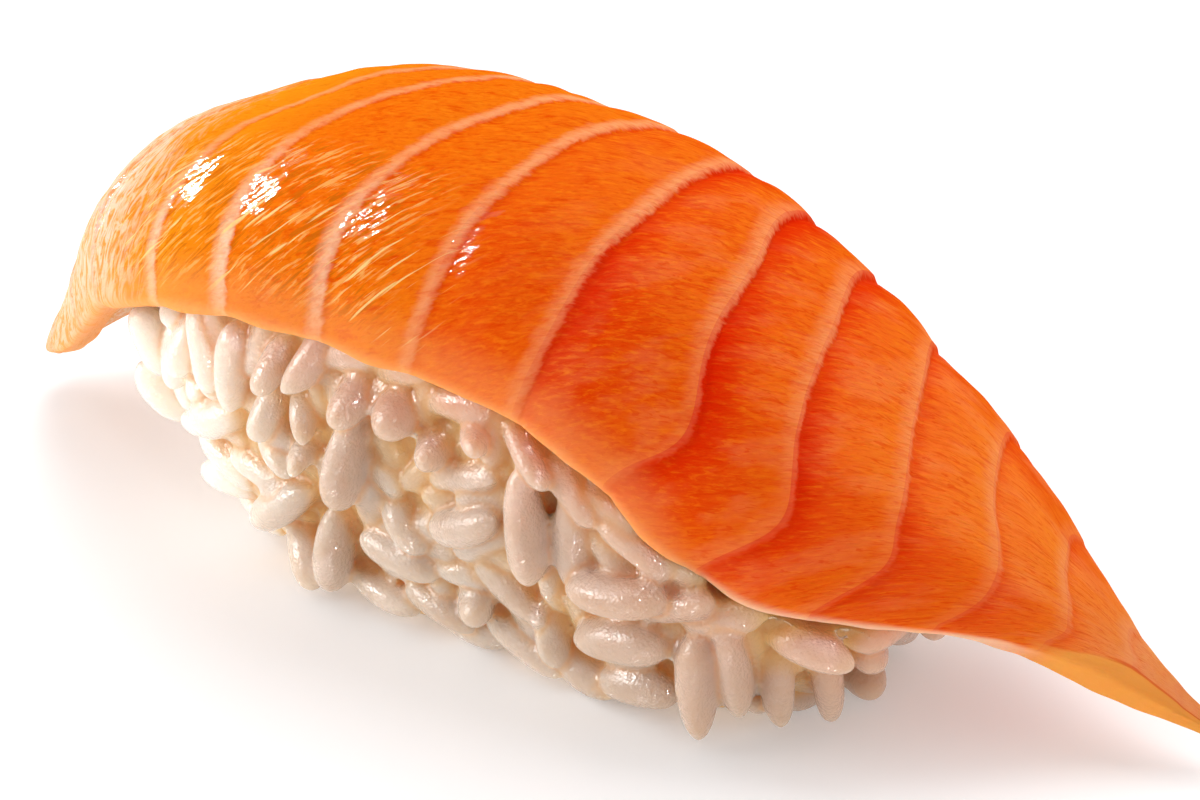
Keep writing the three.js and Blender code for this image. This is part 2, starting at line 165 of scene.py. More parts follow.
def face_point(share, across):
    """A point of the slice's smooth upper face, share 0..1 along the crest and across -1..1 over it."""
    share, across = np.broadcast_arrays(share, across)
    ahead = np.minimum(share + SHARE_STEP, 1)
    behind = np.maximum(share - SHARE_STEP, 0)
    run = (smooth(ALONG, ahead) - smooth(ALONG, behind)) * SLICE_LENGTH
    climb = (smooth(RISE, ahead) - smooth(RISE, behind)) * CREST_HEIGHT
    up = unit(np.stack([-climb * SECTION_LEAN, run], -1))
    steps = (np.arange(SECTION_STEPS) + 0.5) / SECTION_STEPS
    lean = (np.abs(across)[..., None] * steps) ** FOLD_POWER
    slope = np.radians(smooth(FOLD, share))[..., None] * lean
    stride = np.abs(across) * smooth(BREADTH, share) * SLICE_HALF_WIDTH / SECTION_STEPS
    out = np.cos(slope).sum(-1) * stride
    down = np.sin(slope).sum(-1) * stride
    x = smooth(ALONG, share) * SLICE_LENGTH - up[..., 0] * down
    y = smooth(SWAY, share) + np.sign(across) * out
    z = smooth(RISE, share) * CREST_HEIGHT - up[..., 1] * down
    return np.stack([x, y, z], -1)


def face_normal(share, across):
    ahead = face_point(np.minimum(share + SHARE_STEP, 1), across)
    along = ahead - face_point(np.maximum(share - SHARE_STEP, 0), across)
    over = face_point(share, across + SHARE_STEP) - face_point(share, across - SHARE_STEP)
    return unit(np.cross(along, over))


def thickness_at(share, across):
    middle = smooth(BODY, share) * SLICE_THICKNESS
    edge = np.minimum(smooth(EDGE_FACE, share) * EDGE_THICKNESS, middle)
    return lerp(middle, edge, np.minimum(np.abs(across), 1) ** THINNING_POWER)


print("top of the slice:", face_point(0.5, 0.0).round(2), "mm")

# %% [markdown]
# ## The lines of fat
# A side of salmon is a stack of curved sheets of muscle, with a thin sheet of fat between each two. The
# knife cuts across the stack, so each sheet of fat shows as a pale line. The sheets slip a little where the
# slice bends over the rice: just past each line the face drops, and from there it climbs to the next one.
# The lines could be coloured on a smooth slice, but then no light would catch on them. Here the mesh follows
# them, and a place on the slice is given by its line number: 3.5 is half way from line 3 to line 4.

# %% Where the lines run
SEAMS = [0.1, 0.2, 0.29, 0.373, 0.427, 0.492, 0.544, 0.6, 0.655, 0.705, 0.758, 0.808, 0.853, 0.904, 0.95]
LINE_SHARES = np.array([0, *SEAMS, 1])
LAST_LINE = len(SEAMS) + 1
SEAM_BOW = [0, -0.02, -0.04, -0.045, -0.018, 0.009, 0.027, 0.012, 0]
BOW_REACH = 2.3
HOOKS = {9: 0.019, 10: 0.017, 11: 0.009}  # how far these lines swing forward before the near edge
HOOK_PLACE = -0.72
HOOK_REACH = 0.2
WOBBLE = 0.0016  # how far a line strays from its clean curve, as a share of the slice's length
WOBBLE_WAVES = [(1, 4.3, 2.4), (0.45, 11, 5.1)]  # height, turns over the slice, and shift from line to line


def seam_share(line, across, clean):
    """Where a line crosses at this place across the slice. Lines 0 and LAST_LINE are the slice's ends."""
    share = LINE_SHARES[line]
    inner = (line > 0) & (line < LAST_LINE)
    moved = share - smooth(SEAM_BOW, share) * np.sin(BOW_REACH * across)
    if not clean:
        hooks = np.array([HOOKS.get(k, 0) for k in range(LAST_LINE + 1)])
        moved = moved + hooks[line] * np.exp(-(((across - HOOK_PLACE) / HOOK_REACH) ** 2))
        stray = sum(height * np.sin(turns * across + shift * line) for height, turns, shift in WOBBLE_WAVES)
        moved = moved + WOBBLE * stray * np.sin(math.pi * np.clip(share, 0, 1)) ** 0.5
    return np.where(inner, moved, share)


def on_lines(line, across, clean=False):
    """The share along the crest at a line number, the line before it, and the share of the way past it."""
    before = np.minimum(np.floor(line).astype(int), LAST_LINE - 1)
    within = line - before
    share = lerp(seam_share(before, across, clean), seam_share(before + 1, across, clean), within)
    return share, before, within


print("lines:", LAST_LINE - 1)

# %% [markdown]
# ## The slice's skin
# The mesh is a tube of closed rings, one after another from the blunt end to the tail. Each ring follows
# the fat lines, so every drop is crisp, and goes over the upper face, round the near edge and back along
# the underside. An even grid would have to be many times finer to show the same drops. The cut edges are
# slightly rounded, as soft flesh is, and the two ends are closed by a few rings that shrink to a point.

# %% Relief of the flakes
FLAKE_STEP = [0.05, 0.1, 0.15, 0.2, 0.26, 0.36, 0.36, 0.16, 0.03]
FLAKE_DOME = [0.05, 0.1, 0.2, 0.25, 0.25, 0.25, 0.25, 0.15, 0]
DROP_WIDTH = 0.75  # of the drop past each line
CLIMB_POWER = 1.4
EDGE_CALM = 0.4
SCALLOP = 0.012
GROOVE_DEPTH = 0.16  # of the open groove at the foot of a drop
GROOVE_BY_LINE = {7: 0.3, 8: 0.85, 9: 1, 10: 0.8, 11: 0.5, 12: 0.3, 13: 0.2, 14: 0.15}
GROOVE_ELSEWHERE = 0.08
GROOVE_LEAST = 0.45  # of the full depth, away from where it is most open
GROOVE_PLACE = 0.42  # where across it is most open, on both sides
GROOVE_REACH = 0.33
GROOVE_FROM_LINE = 0.6
GROOVE_WIDTH = 0.35


def groove_at(before, across):
    """How open the groove past a line is, 0..1: most on the near side, where the slice bends hardest."""
    opened = np.array([GROOVE_BY_LINE.get(k, GROOVE_ELSEWHERE) for k in range(LAST_LINE + 1)])[before]
    bend = np.exp(-(((np.abs(across) - GROOVE_PLACE) / GROOVE_REACH) ** 2))
    return opened * lerp(GROOVE_LEAST, 1, bend)


def flake_relief(share, before, within, flake, across):
    """How far the flesh stands out of the smooth face, where flake is the flake's length here."""
    past = within * flake
    drop = 1 - smoothstep(past / DROP_WIDTH)
    climb = within**CLIMB_POWER
    step = smooth(FLAKE_STEP, share) * np.maximum(drop, climb)
    dome = smooth(FLAKE_DOME, share) * np.sin(math.pi * within)
    foot = np.exp(-(((past - GROOVE_FROM_LINE) / GROOVE_WIDTH) ** 2))
    groove = GROOVE_DEPTH * groove_at(before, across) * foot
    return (step + dome - groove) * (1 - EDGE_CALM * across**4)


def flake_length(before, share, across):
    """The length of the flake here, from its line to the next one."""
    ahead = face_point(np.minimum(share + SHARE_STEP, 1), across)
    stretch = np.linalg.norm(ahead - face_point(np.maximum(share - SHARE_STEP, 0), across), axis=-1)
    span = seam_share(before + 1, across, False) - seam_share(before, across, False)
    return span * stretch / (2 * SHARE_STEP)


print("drop at the tallest line:", max(FLAKE_STEP), "mm")

# %% Rings of the slice
ACROSS_POINTS = 151
UNDER_POINTS = 51
CORNER_POINTS = 6
CORNER_SHARE = 0.3  # of the edge's thickness, taken by each rounded corner
NARROWEST = 1.2  # half width that the corner's reach is worked out from, at least
DROP_COLUMNS = 8
CLIMB_COLUMNS = 16
DROP_SHARE = 0.13  # of each flake, that gets the finer columns


def line_numbers():
    """Line numbers of the rings: close together in each drop, and wider apart on the climb."""
    fine = np.linspace(0, DROP_SHARE, DROP_COLUMNS, endpoint=False)
    wide = np.linspace(DROP_SHARE, 1, CLIMB_COLUMNS, endpoint=False)
    within = np.concatenate([fine, wide])
    return np.append((np.arange(LAST_LINE)[:, None] + within).ravel(), LAST_LINE)


def ring_layout():
    """For each point of a ring: its place across, whether it is above, and how far round a corner it is."""
    flat = np.linspace(-1, 1, ACROSS_POINTS)
    turn = np.linspace(0, 1, CORNER_POINTS + 1)[1:]
    across = np.concatenate([flat, np.ones(CORNER_POINTS), np.ones(CORNER_POINTS),
                             np.linspace(1, -1, UNDER_POINTS), -np.ones(2 * CORNER_POINTS)])
    above = np.concatenate([np.ones(ACROSS_POINTS), np.ones(CORNER_POINTS), np.zeros(CORNER_POINTS),
                            np.zeros(UNDER_POINTS), np.zeros(CORNER_POINTS), np.ones(CORNER_POINTS)])
    corner = np.concatenate([np.zeros(ACROSS_POINTS), turn, turn[::-1],
                             np.zeros(UNDER_POINTS), turn, turn[::-1]])
    return across, above, corner


def slice_rings():
    """All the points, ring by ring, with what the finish needs to know about each."""
    across, above, corner = ring_layout()
    line = line_numbers()[:, None]
    across = np.broadcast_to(across, (len(line), len(across)))
    line = np.broadcast_to(line, across.shape)
    share, before, within = on_lines(line, across)
    half_width = np.maximum(smooth(BREADTH, share) * SLICE_HALF_WIDTH, NARROWEST)
    thickness = thickness_at(share, across)
    radius = thickness * CORNER_SHARE
    shrink = 1 - radius / half_width
    angle = corner * math.pi / 2
    reach = shrink + (1 - shrink) * np.sin(angle)
    place = across * (reach + SCALLOP * np.sin(math.pi * within) * across**2)
    face = face_point(share, place)
    normal = face_normal(share, place)
    flake = flake_length(before, share, place)
    relief = flake_relief(share, before, within, flake, across)
    inset = radius * (1 - np.cos(angle))
    height = np.where(above > 0, relief - inset, -thickness + inset)
    points = face + normal * height[..., None]
    above = np.broadcast_to(above, line.shape)
    return points, {"line": line, "share": share, "across": place, "flake": flake, "above": above}


slice_points, slice_facts = slice_rings()
print("rings and points in each:", slice_points.shape[:2])

# %% [markdown]
# ## Small unevenness
# Flesh is never quite smooth. A few overlapping waves, a tenth of a millimetre high, make the face catch
# the light unevenly. They are part of the mesh, because they are wide enough to bend a highlight. The finer
# threads are left to the finish. The waves move points along the surface's own normal, which is found from
# the finished grid.

# %% Give the face its unevenness
SWELL_HEIGHT = 0.11
SWELL_LENGTH = 9
DIMPLE_HEIGHT = 0.035
DIMPLE_LENGTH = 2.3
CALM_FLAKE = 3  # flakes shorter than this, and the blunt end, are smoother
CALM_END = 0.05


def grid_normals(points):
    along = np.gradient(points, axis=0)
    around = np.roll(points, -1, axis=1) - np.roll(points, 1, axis=1)
    normals = np.cross(along, around)
    return normals / np.maximum(np.linalg.norm(normals, axis=-1, keepdims=True), 1e-9)


uneven = SWELL_HEIGHT * ripple(slice_points, SWELL_LENGTH, seed=5)
uneven += DIMPLE_HEIGHT * ripple(slice_points, DIMPLE_LENGTH, seed=6)
fade = np.clip(slice_facts["flake"] / CALM_FLAKE, 0, 1) * smoothstep(slice_facts["share"] / CALM_END)
slice_points = slice_points + grid_normals(slice_points) * (uneven * fade)[..., None]
print("largest bump:", round(float(np.abs(uneven).max()), 3), "mm")

# %% Close the ends and list the faces
END_RINGS = 5


def closed_tube(points, end_bulge):
    """Adds shrinking rings at both ends. Returns flat points, the ring each came from, and the faces."""
    def cap(ring, inward):
        middle = ring.mean(0)
        away = unit(middle - inward)
        turn = np.linspace(0, 1, END_RINGS + 1)[1:] * math.pi / 2
        return [middle + (ring - middle) * math.cos(t) + away * end_bulge * math.sin(t) for t in turn]

    first = cap(points[0], points[4].mean(0))[::-1]
    last = cap(points[-1], points[-5].mean(0))
    rings = np.array([*first, *points, *last])
    source = np.clip(np.arange(len(rings)) - END_RINGS, 0, len(points) - 1)
    count = points.shape[1]
    a = (np.arange(len(rings) - 1)[:, None] * count + np.arange(count)).ravel()
    b = (np.arange(len(rings) - 1)[:, None] * count + (np.arange(count) + 1) % count).ravel()
    return rings.reshape(-1, 3), source, np.stack([a, a + count, b + count, b], -1)


def make_mesh(name, points, faces, attributes):
    """A smooth-shaded object from points in millimetres, with number attributes for its finish."""
    mesh = bpy.data.meshes.new(name)
    mesh.from_pydata((points * MM).tolist(), [], faces)
    for key, values in attributes.items():
        vector = values.ndim == 2
        layer = mesh.attributes.new(key, "FLOAT_VECTOR" if vector else "FLOAT", "POINT")
        layer.data.foreach_set("vector" if vector else "value", values.astype(np.float32).ravel())
    mesh.shade_smooth()
    piece = bpy.data.objects.new(name, mesh)
    bpy.context.scene.collection.objects.link(piece)
    return piece


END_BULGE = 0.5
FIBRE_RISE = [0, 0, 0, 0.7, 4, 12, 24, 38, 52]  # how far the fibres have climbed over the slice, in mm
UPPER_SHIFT = 4.0  # so that the upper face and the underside get other threads
tube_points, tube_source, tube_faces = closed_tube(slice_points, END_BULGE)


def per_point(values):
    return values[tube_source].ravel()


crest_length = np.linalg.norm(np.diff(face_point(np.linspace(0, 1, 400), 0.0), axis=0), axis=1).sum()
strand = np.stack([
    per_point(slice_facts["share"]) * crest_length,
    per_point(slice_facts["across"]) * SLICE_HALF_WIDTH - per_point(smooth(FIBRE_RISE, slice_facts["share"])),
    per_point(slice_facts["above"]) * UPPER_SHIFT,
], -1)
salmon = make_mesh("salmon_fillet", tube_points, tube_faces.tolist(), {
    "line": per_point(slice_facts["line"]),
    "share": per_point(slice_facts["share"]),
    "across": per_point(slice_facts["across"]),
    "flake": per_point(slice_facts["flake"]),
    "strand": strand,
})
print("slice:", len(tube_points), "points,", 2 * len(tube_faces), "triangles")

# %% [markdown]
# ## The bed's core
# The rice is pressed into a loaf, full at its ends and drawn in a little at the foot, and its top follows
# the underside of the slice. Only the outer grains can be seen, so a plain core fills the inside and single
# grains lie over it. The core's sides come from one formula, and its top is lowered to fit under the slice.

# %% Form of the core
BED_CENTRE_X = 0.1
BED_CENTRE_Y = -0.6
BED_HALF_LENGTH = 27.6
BED_HALF_WIDTH = 12.2
BED_WIDEST_HEIGHT = 14
BED_DOME_HEIGHT = 31
BED_END_TAPER = 0.29
BED_SIDE_TAPER = 0.21
BED_PLAN_POWER = 3.4
BED_DOME_POWER = 2.4
BED_STEP = 1e-3


def bed_point(angle, z):
    """A point on the core at a height, at an angle round it from +X."""
    angle, z = np.broadcast_arrays(angle, z)
    c, s = np.cos(angle), np.sin(angle)
    plan = (np.abs(c) ** BED_PLAN_POWER + np.abs(s) ** BED_PLAN_POWER) ** (-1 / BED_PLAN_POWER)
    below = np.clip(1 - z / BED_WIDEST_HEIGHT, 0, 1) ** 2
    above = np.clip((z - BED_WIDEST_HEIGHT) / (BED_DOME_HEIGHT - BED_WIDEST_HEIGHT), 0, 1)
    r = plan * (1 - above**BED_DOME_POWER) ** (1 / BED_DOME_POWER)
    x = BED_CENTRE_X + BED_HALF_LENGTH * r * c * (1 - BED_END_TAPER * below)
    y = BED_CENTRE_Y + BED_HALF_WIDTH * r * s * (1 - BED_SIDE_TAPER * below)
    return np.stack([x, y, z + 0.0 * c], -1)


def bed_normal(angle, z):
    around = bed_point(angle + BED_STEP, z) - bed_point(angle - BED_STEP, z)
    rise = bed_point(angle, z + BED_STEP) - bed_point(angle, z - BED_STEP)
    return unit(np.cross(around, rise))


print("core at its widest:", (2 * BED_HALF_LENGTH, 2 * BED_HALF_WIDTH), "mm")

# %% Feel the slice's underside
FEELER_POINTS = 31
FEELER_STEPS = [0.1, 0.3, 0.5, 0.7, 0.9]
CEILING_STEPS = np.linspace(0, 0.9, 10)
CEILING_POINTS = 81
CEILING_BLUR = 0.05


def underside_points(steps_in_flake, points):
    """Points over the underside of the plain slice, before its finer relief."""
    line = np.append((np.arange(LAST_LINE)[:, None] + steps_in_flake).ravel(), LAST_LINE)[:, None]
    across = np.linspace(-1, 1, points)[None, :]
    share, _, within = on_lines(*np.broadcast_arrays(line, across), clean=True)
    place = across * (1 + SCALLOP * np.sin(math.pi * within) * across**2)
    under = face_point(share, place) - face_normal(share, place) * thickness_at(share, across)[..., None]
    return under.reshape(-1, 3)


feelers = underside_points(np.array(FEELER_STEPS), FEELER_POINTS)
ceiling_points = underside_points(CEILING_STEPS, CEILING_POINTS)


def ceiling_over(points):
    """The height of the underside over each point, from the four nearest places on it."""
    out = np.empty(len(points))
    for n, point in enumerate(points):
        away = np.hypot(ceiling_points[:, 0] - point[0], ceiling_points[:, 1] - point[1])
        near = np.argpartition(away, 4)[:4]
        weight = 1 / (away[near] + CEILING_BLUR)
        out[n] = (ceiling_points[near, 2] * weight).sum() / weight.sum()
    return out


print("feelers:", len(feelers), " finer points:", len(ceiling_points))

# %% Build the core
CORE_ROUND = 120
CORE_LEVELS = 44
CORE_GAP = 0.6  # kept under the slice
CORE_INSET = 0.6  # so that grains show even in the hollows
CORE_BUMP = 0.25
CORE_BUMP_LENGTH = 4.5
CORE_CALM_BELOW = 3  # the bumps fade out towards the board
SWELLING = 0.18  # everything is this much thicker while it fuses, and is drawn in again after


def core_mesh():
    angle = np.linspace(0, 2 * math.pi, CORE_ROUND, endpoint=False)[None, :]
    z = np.linspace(0, BED_DOME_HEIGHT, CORE_LEVELS + 1)[:-1, None]
    points = bed_point(angle, z)
    bump = ripple(points, CORE_BUMP_LENGTH, seed=8) * CORE_BUMP * np.clip(z / CORE_CALM_BELOW, 0, 1)
    points = points + bed_normal(angle, z) * (bump + SWELLING - CORE_INSET)[..., None] * (1, 1, 0)
    flat = points.reshape(-1, 3)
    flat[:, 2] = np.minimum(flat[:, 2], ceiling_over(flat) + SWELLING - CORE_GAP)
    flat[:CORE_ROUND, 2] = -SWELLING
    foot_middle = [BED_CENTRE_X, BED_CENTRE_Y, -SWELLING]
    middle = np.array([foot_middle, [BED_CENTRE_X, BED_CENTRE_Y, BED_DOME_HEIGHT]])
    middle[1, 2] = ceiling_over(middle[1:])[0] + SWELLING - CORE_GAP
    foot, peak = len(flat), len(flat) + 1
    k = np.arange(CORE_ROUND)
    after = (k + 1) % CORE_ROUND
    faces = [(foot, n, m) for m, n in zip(k, after)]
    rim = (CORE_LEVELS - 1) * CORE_ROUND
    faces += [(rim + m, rim + n, peak) for m, n in zip(k, after)]
    for level in range(CORE_LEVELS - 1):
        a = level * CORE_ROUND
        faces += [(a + m, a + n, a + CORE_ROUND + n, a + CORE_ROUND + m) for m, n in zip(k, after)]
    return np.concatenate([flat, middle]), faces


core_points, core_faces = core_mesh()
print("core:", len(core_points), "points, top at", round(float(core_points[:, 2].max()), 2), "mm")

# %% [markdown]
# ## The grains that stand out
# Anyone who looks at the near side sees a few dozen grains clearly, so those are given one by one: their
# place along the bed and height, how they lean and pitch, how long and thick they are, and how far they
# stand out. A few more swell out under the slice's blunt end. A simulation could pour and press the rest,
# but it would be slow, and different after every small change. So they are dropped at random places by a
# seeded rule, and each stays only where it has room and keeps clear of the slice. The first two rounds give
# the grains of the imported model. Then come a row right under the slice, a row round the foot, and smaller
# grains in the hollows that are left.

# %% Grains given one by one
GRAIN_LENGTH = 6.5
GRAIN_WIDTH = 2.7
NEAR_GRAINS = [
    [-17.5, 15.4, -3, 5, 6.5, 2.6, 0.4],
    [-13.5, 17.6, -8, 45, 6, 2.4, 0],
    [-7.1, 17.4, -8, 50, 6, 2.5, 0],
    [-4, 17.3, 20, 65, 6, 3, -0.6],
    [-7.4, 12.6, -7, 10, 7, 3.1, 0.9],
    [-9.9, 4.6, -7, 0, 6.8, 2.7, 0.9],
    [-14.1, 6.1, -50, 5, 6.8, 2.7, 0.6],
    [-16.6, 7.6, 84, 5, 5.8, 2.4, 0],
    [-11.4, 11.9, 10, 60, 5.6, 2, -0.4],
    [-11.5, 14.8, 26, 40, 5.8, 2.1, -0.4],
    [-14.6, 10.4, 71, 30, 5.8, 2.2, -0.3],
    [-4.5, 6.1, 81, 5, 6.2, 2.5, 0.6],
    [-6.5, 2, 85, 5, 5.8, 2.2, 0.5],
    [-4.2, 9.2, 51, 25, 6, 2.6, -0.4],
    [5.8, 17.3, 57, 25, 5.6, 2, 0.2],
    [8.8, 15.6, 54, 15, 5.4, 2.1, 0],
    [1.4, 11.1, 118, 8, 6.2, 2.5, 0.8],
    [1, 13.9, 112, 10, 6.2, 2.2, 0],
    [6.2, 12.7, 8, 3, 7.8, 2.9, 1.1],
    [1.7, 17.2, 91, 55, 5.6, 2, -0.2],
    [-1.4, 15.6, 40, 70, 5.8, 2.4, -0.8],
    [9, 12.3, 2, 5, 6.6, 2.6, 0],
    [13.4, 13.2, 66, 5, 5.8, 2, 0.2],
    [12.5, 10.2, 100, 5, 7.4, 2.8, 1],
    [12.2, 5.9, 104, 5, 7, 3.1, 0.8],
    [16, 9.8, 118, 10, 6, 2.5, 0.2],
    [4.5, 2.2, 70, 5, 6.2, 2.3, 0.6],
    [6.7, 4.6, 15, 15, 5.8, 2.2, -0.2],
    [4, 6.6, 62, 5, 6.4, 2.4, 0.2],
    [0.8, 4.6, 85, 55, 5.8, 2.4, -0.2],
    [-1.9, 2.8, 80, 10, 6, 2.2, 0.5],
    [8.8, 1.8, 75, 10, 5.6, 2.4, 0.4],
    [12.6, 2.2, 100, 5, 6, 2.7, 0.8],
    [17.1, 4.5, 3, 0, 7.6, 3.2, 1.6],
    [19.3, 6.2, 8, 0, 7, 2.4, 0.8],
    [21.2, 4.4, 2, 0, 6, 2.3, 0.5],
    [22.9, 4.2, 8, 0, 6, 2.4, 0.5],
]
HALVINGS = 30


def near_angle(x, z):
    """The angle round the core at which its near side has this x, found by halving."""
    low, high = -math.pi, 0.0
    for _ in range(HALVINGS):
        middle = (low + high) / 2
        if bed_point(middle, z)[0] < x:
            low = middle
        else:
            high = middle
    return (low + high) / 2


def near_grain(x, z, lean, pitch, length, width, stand):
    angle = near_angle(x, z)
    outward = unit(bed_normal(angle, z) * (1, 1, 0))
    level = np.array([-outward[1], outward[0], 0])
    lean, pitch = math.radians(lean), math.radians(pitch)
    flat = level * math.sin(lean) - np.array([0, 0, math.cos(lean)])
    axis = unit(flat * math.cos(pitch) + outward * math.sin(pitch))
    return bed_point(angle, z) + outward * stand, axis, length, width


END_GRAINS = [  # they swell out under the slice's blunt end: the centre, the axis, and the length and width
    [(-27.6, -8.8, 12.6), (0.25, 0.1, -0.96), 5.4, 3],
    [(-28.2, -6.4, 11.6), (0.3, -0.2, -0.93), 5.6, 3],
    [(-28.7, -3.6, 12.8), (0.15, 0.3, -0.94), 5.8, 3.1],
    [(-28.7, -0.6, 12.2), (0.2, -0.1, -0.97), 5.6, 3],
    [(-28.5, 2.4, 12.6), (0.15, 0.3, -0.94), 5.6, 3],
    [(-27.9, 5.2, 12), (0.25, -0.2, -0.95), 5.6, 3],
    [(-27.8, -7.6, 8.2), (0.5, 0.4, -0.77), 5.6, 2.9],
    [(-28.1, -1.8, 8.4), (0.45, -0.5, -0.74), 5.6, 3],
    [(-27.7, 3.6, 8.2), (0.5, 0.3, -0.81), 5.6, 2.9],
]
print("grains placed by hand:", len(NEAR_GRAINS) + len(END_GRAINS))

# %% Room for a grain
class GrainBox:
    """The grains so far, each a rod with round ends, and the tests that a new one has to pass."""

    def __init__(self):
        self.centres = np.zeros((0, 3))
        self.axes = np.zeros((0, 3))
        self.sizes = np.zeros((0, 2))

    def add(self, centre, axis, length, width):
        self.centres = np.vstack([self.centres, centre])
        self.axes = np.vstack([self.axes, axis])
        self.sizes = np.vstack([self.sizes, (length, width)])

    def nearness(self, centre, axis, length, width):
        """How near a new grain's middle line comes to that of any grain here, where 1 is just touching."""
        if not len(self.centres):
            return math.inf
        half = (length - width) / 2
        halves = (self.sizes[:, 0] - self.sizes[:, 1]) / 2
        between = self.centres - centre
        cosine = self.axes @ axis
        along_a = between @ axis
        along_b = (between * self.axes).sum(1)
        s = np.clip((along_a - cosine * along_b) / np.maximum(1 - cosine**2, 1e-6), -half, half)
        t = np.clip(cosine * s - along_b, -halves, halves)
        s = np.clip(cosine * t + along_a, -half, half)
        away = np.linalg.norm(between + self.axes * t[:, None] - axis * s[:, None], axis=1)
        return float((2 * away / (width + self.sizes[:, 1])).min())


def clear_of_slice(centre, axis, length, width, gap=FIT_GAP, headroom=0.0):
    half = (length - width) / 2
    between = feelers - centre
    s = np.clip(between @ axis, -half, half)
    if np.linalg.norm(between - s[:, None] * axis, axis=1).min() < width / 2 + gap:
        return False
    aside = np.hypot(between[:, 0], between[:, 1])
    return bool(centre[2] + headroom < feelers[aside.argmin(), 2])


DRAW_FACTOR = 16807
DRAW_SPAN = 2147483647


def random_source(seed):
    """The same numbers on every run: each call gives the next one in 0..1."""
    state = seed

    def following():
        nonlocal state
        state = state * DRAW_FACTOR % DRAW_SPAN
        return state / DRAW_SPAN

    return following


print("first number from seed 7:", round(random_source(7)(), 6))

# %% Scatter the other grains
FLOOR_GAP = 0.05
SCATTER_LOWEST = 1.2
SCATTER_HIGHEST = 25
SCATTER_TILT = 0.65
SMALLEST_GRAIN = 0.88
LARGEST_GRAIN = 1.08
ROUNDS = [
    {"tries": 6000, "closeness": 0.86, "sunk": (-0.5, 0.3), "seed": 2718},
    {"tries": 3000, "closeness": 0.66, "sunk": (0.7, 1.3), "seed": 3141},
]


def scatter(grains, tries, closeness, sunk, seed):
    random = random_source(seed)
    for _ in range(tries):
        angle = random() * 2 * math.pi
        z = lerp(SCATTER_LOWEST, SCATTER_HIGHEST, random())
        turn = random() * math.pi
        tilt = lerp(-SCATTER_TILT, SCATTER_TILT, random())
        depth = lerp(*sunk, random())
        size = lerp(SMALLEST_GRAIN, LARGEST_GRAIN, random())
        outward = bed_normal(angle, z)
        level = unit(np.array([-outward[1], outward[0], 0]))
        steep = np.cross(outward, level)
        axis = level * math.cos(turn) + steep * math.sin(turn)
        axis = unit(axis * math.cos(tilt) + outward * math.sin(tilt))
        centre = bed_point(angle, z) - outward * depth
        length, width = GRAIN_LENGTH * size, GRAIN_WIDTH * size
        if centre[2] - (length - width) / 2 * abs(axis[2]) - width / 2 < FLOOR_GAP:
            continue
        if grains.nearness(centre, axis, length, width) < closeness:
            continue
        if clear_of_slice(centre, axis, length, width):
            grains.add(centre, axis, length, width)


grains = GrainBox()
for numbers in NEAR_GRAINS:
    grain = near_grain(*numbers)
    if clear_of_slice(*grain):
        grains.add(*grain)
for settings in ROUNDS:
    scatter(grains, **settings)
    print("grains so far:", len(grains.centres))

# %% Fill the hollows between them
HOLLOW_STEP = 1.1  # between the places that are tried
HOLLOW_TURNS = 7
HOLLOW_TILT = 0.35
OUTLINE_POINTS = 721
HOLLOW_GAP = 0.04  # kept under the slice
FULL_WIDTH = 2.9  # of the pressed grains, which have spread a little
TUCKED_TRIES = 150
TUCKED_SIZE = (0.75, 0.95)
TUCKED_LEAN = 0.4
TUCKED_STEP = 0.25
TUCKED_DEPTH = 0.5
TUCKED_CLOSENESS = 0.35
FOOT_TRIES = 120
FOOT_SIZE = (0.85, 1.0)
FOOT_RISE = 0.5
FOOT_DEPTH = 0.3
FOOT_CLOSENESS = 0.5
HOLLOW_PASSES = [
    {"open": 0.95, "closeness": 0.6, "sunk": (0.0, 0.5), "size": (0.85, 1.05), "seed": 31},
    {"open": 0.8, "closeness": 0.5, "sunk": (0.2, 0.7), "size": (0.85, 1.05), "seed": 32},
    {"open": 0.7, "closeness": 0.4, "sunk": (0.4, 0.9), "size": (0.8, 1.0), "seed": 33},
    {"open": 0.6, "closeness": 0.3, "sunk": (0.6, 1.1), "size": (0.75, 0.95), "seed": 34},
]


def hollow_places():
    """Places all over the core's sides, in even steps, each with the way out."""
    turn = np.linspace(0, 2 * math.pi, OUTLINE_POINTS)
    angles, heights = [], []
    for z in np.arange(1.0, SCATTER_HIGHEST, HOLLOW_STEP):
        outline = bed_point(turn, z)
        run = np.concatenate([[0], np.cumsum(np.linalg.norm(np.diff(outline, axis=0), axis=1))])
        even = np.interp(np.arange(0, run[-1], HOLLOW_STEP), run, turn)
        angles.append(even)
        heights.append(np.full(len(even), z))
    angles, heights = np.concatenate(angles), np.concatenate(heights)
    return bed_point(angles, heights), bed_normal(angles, heights)


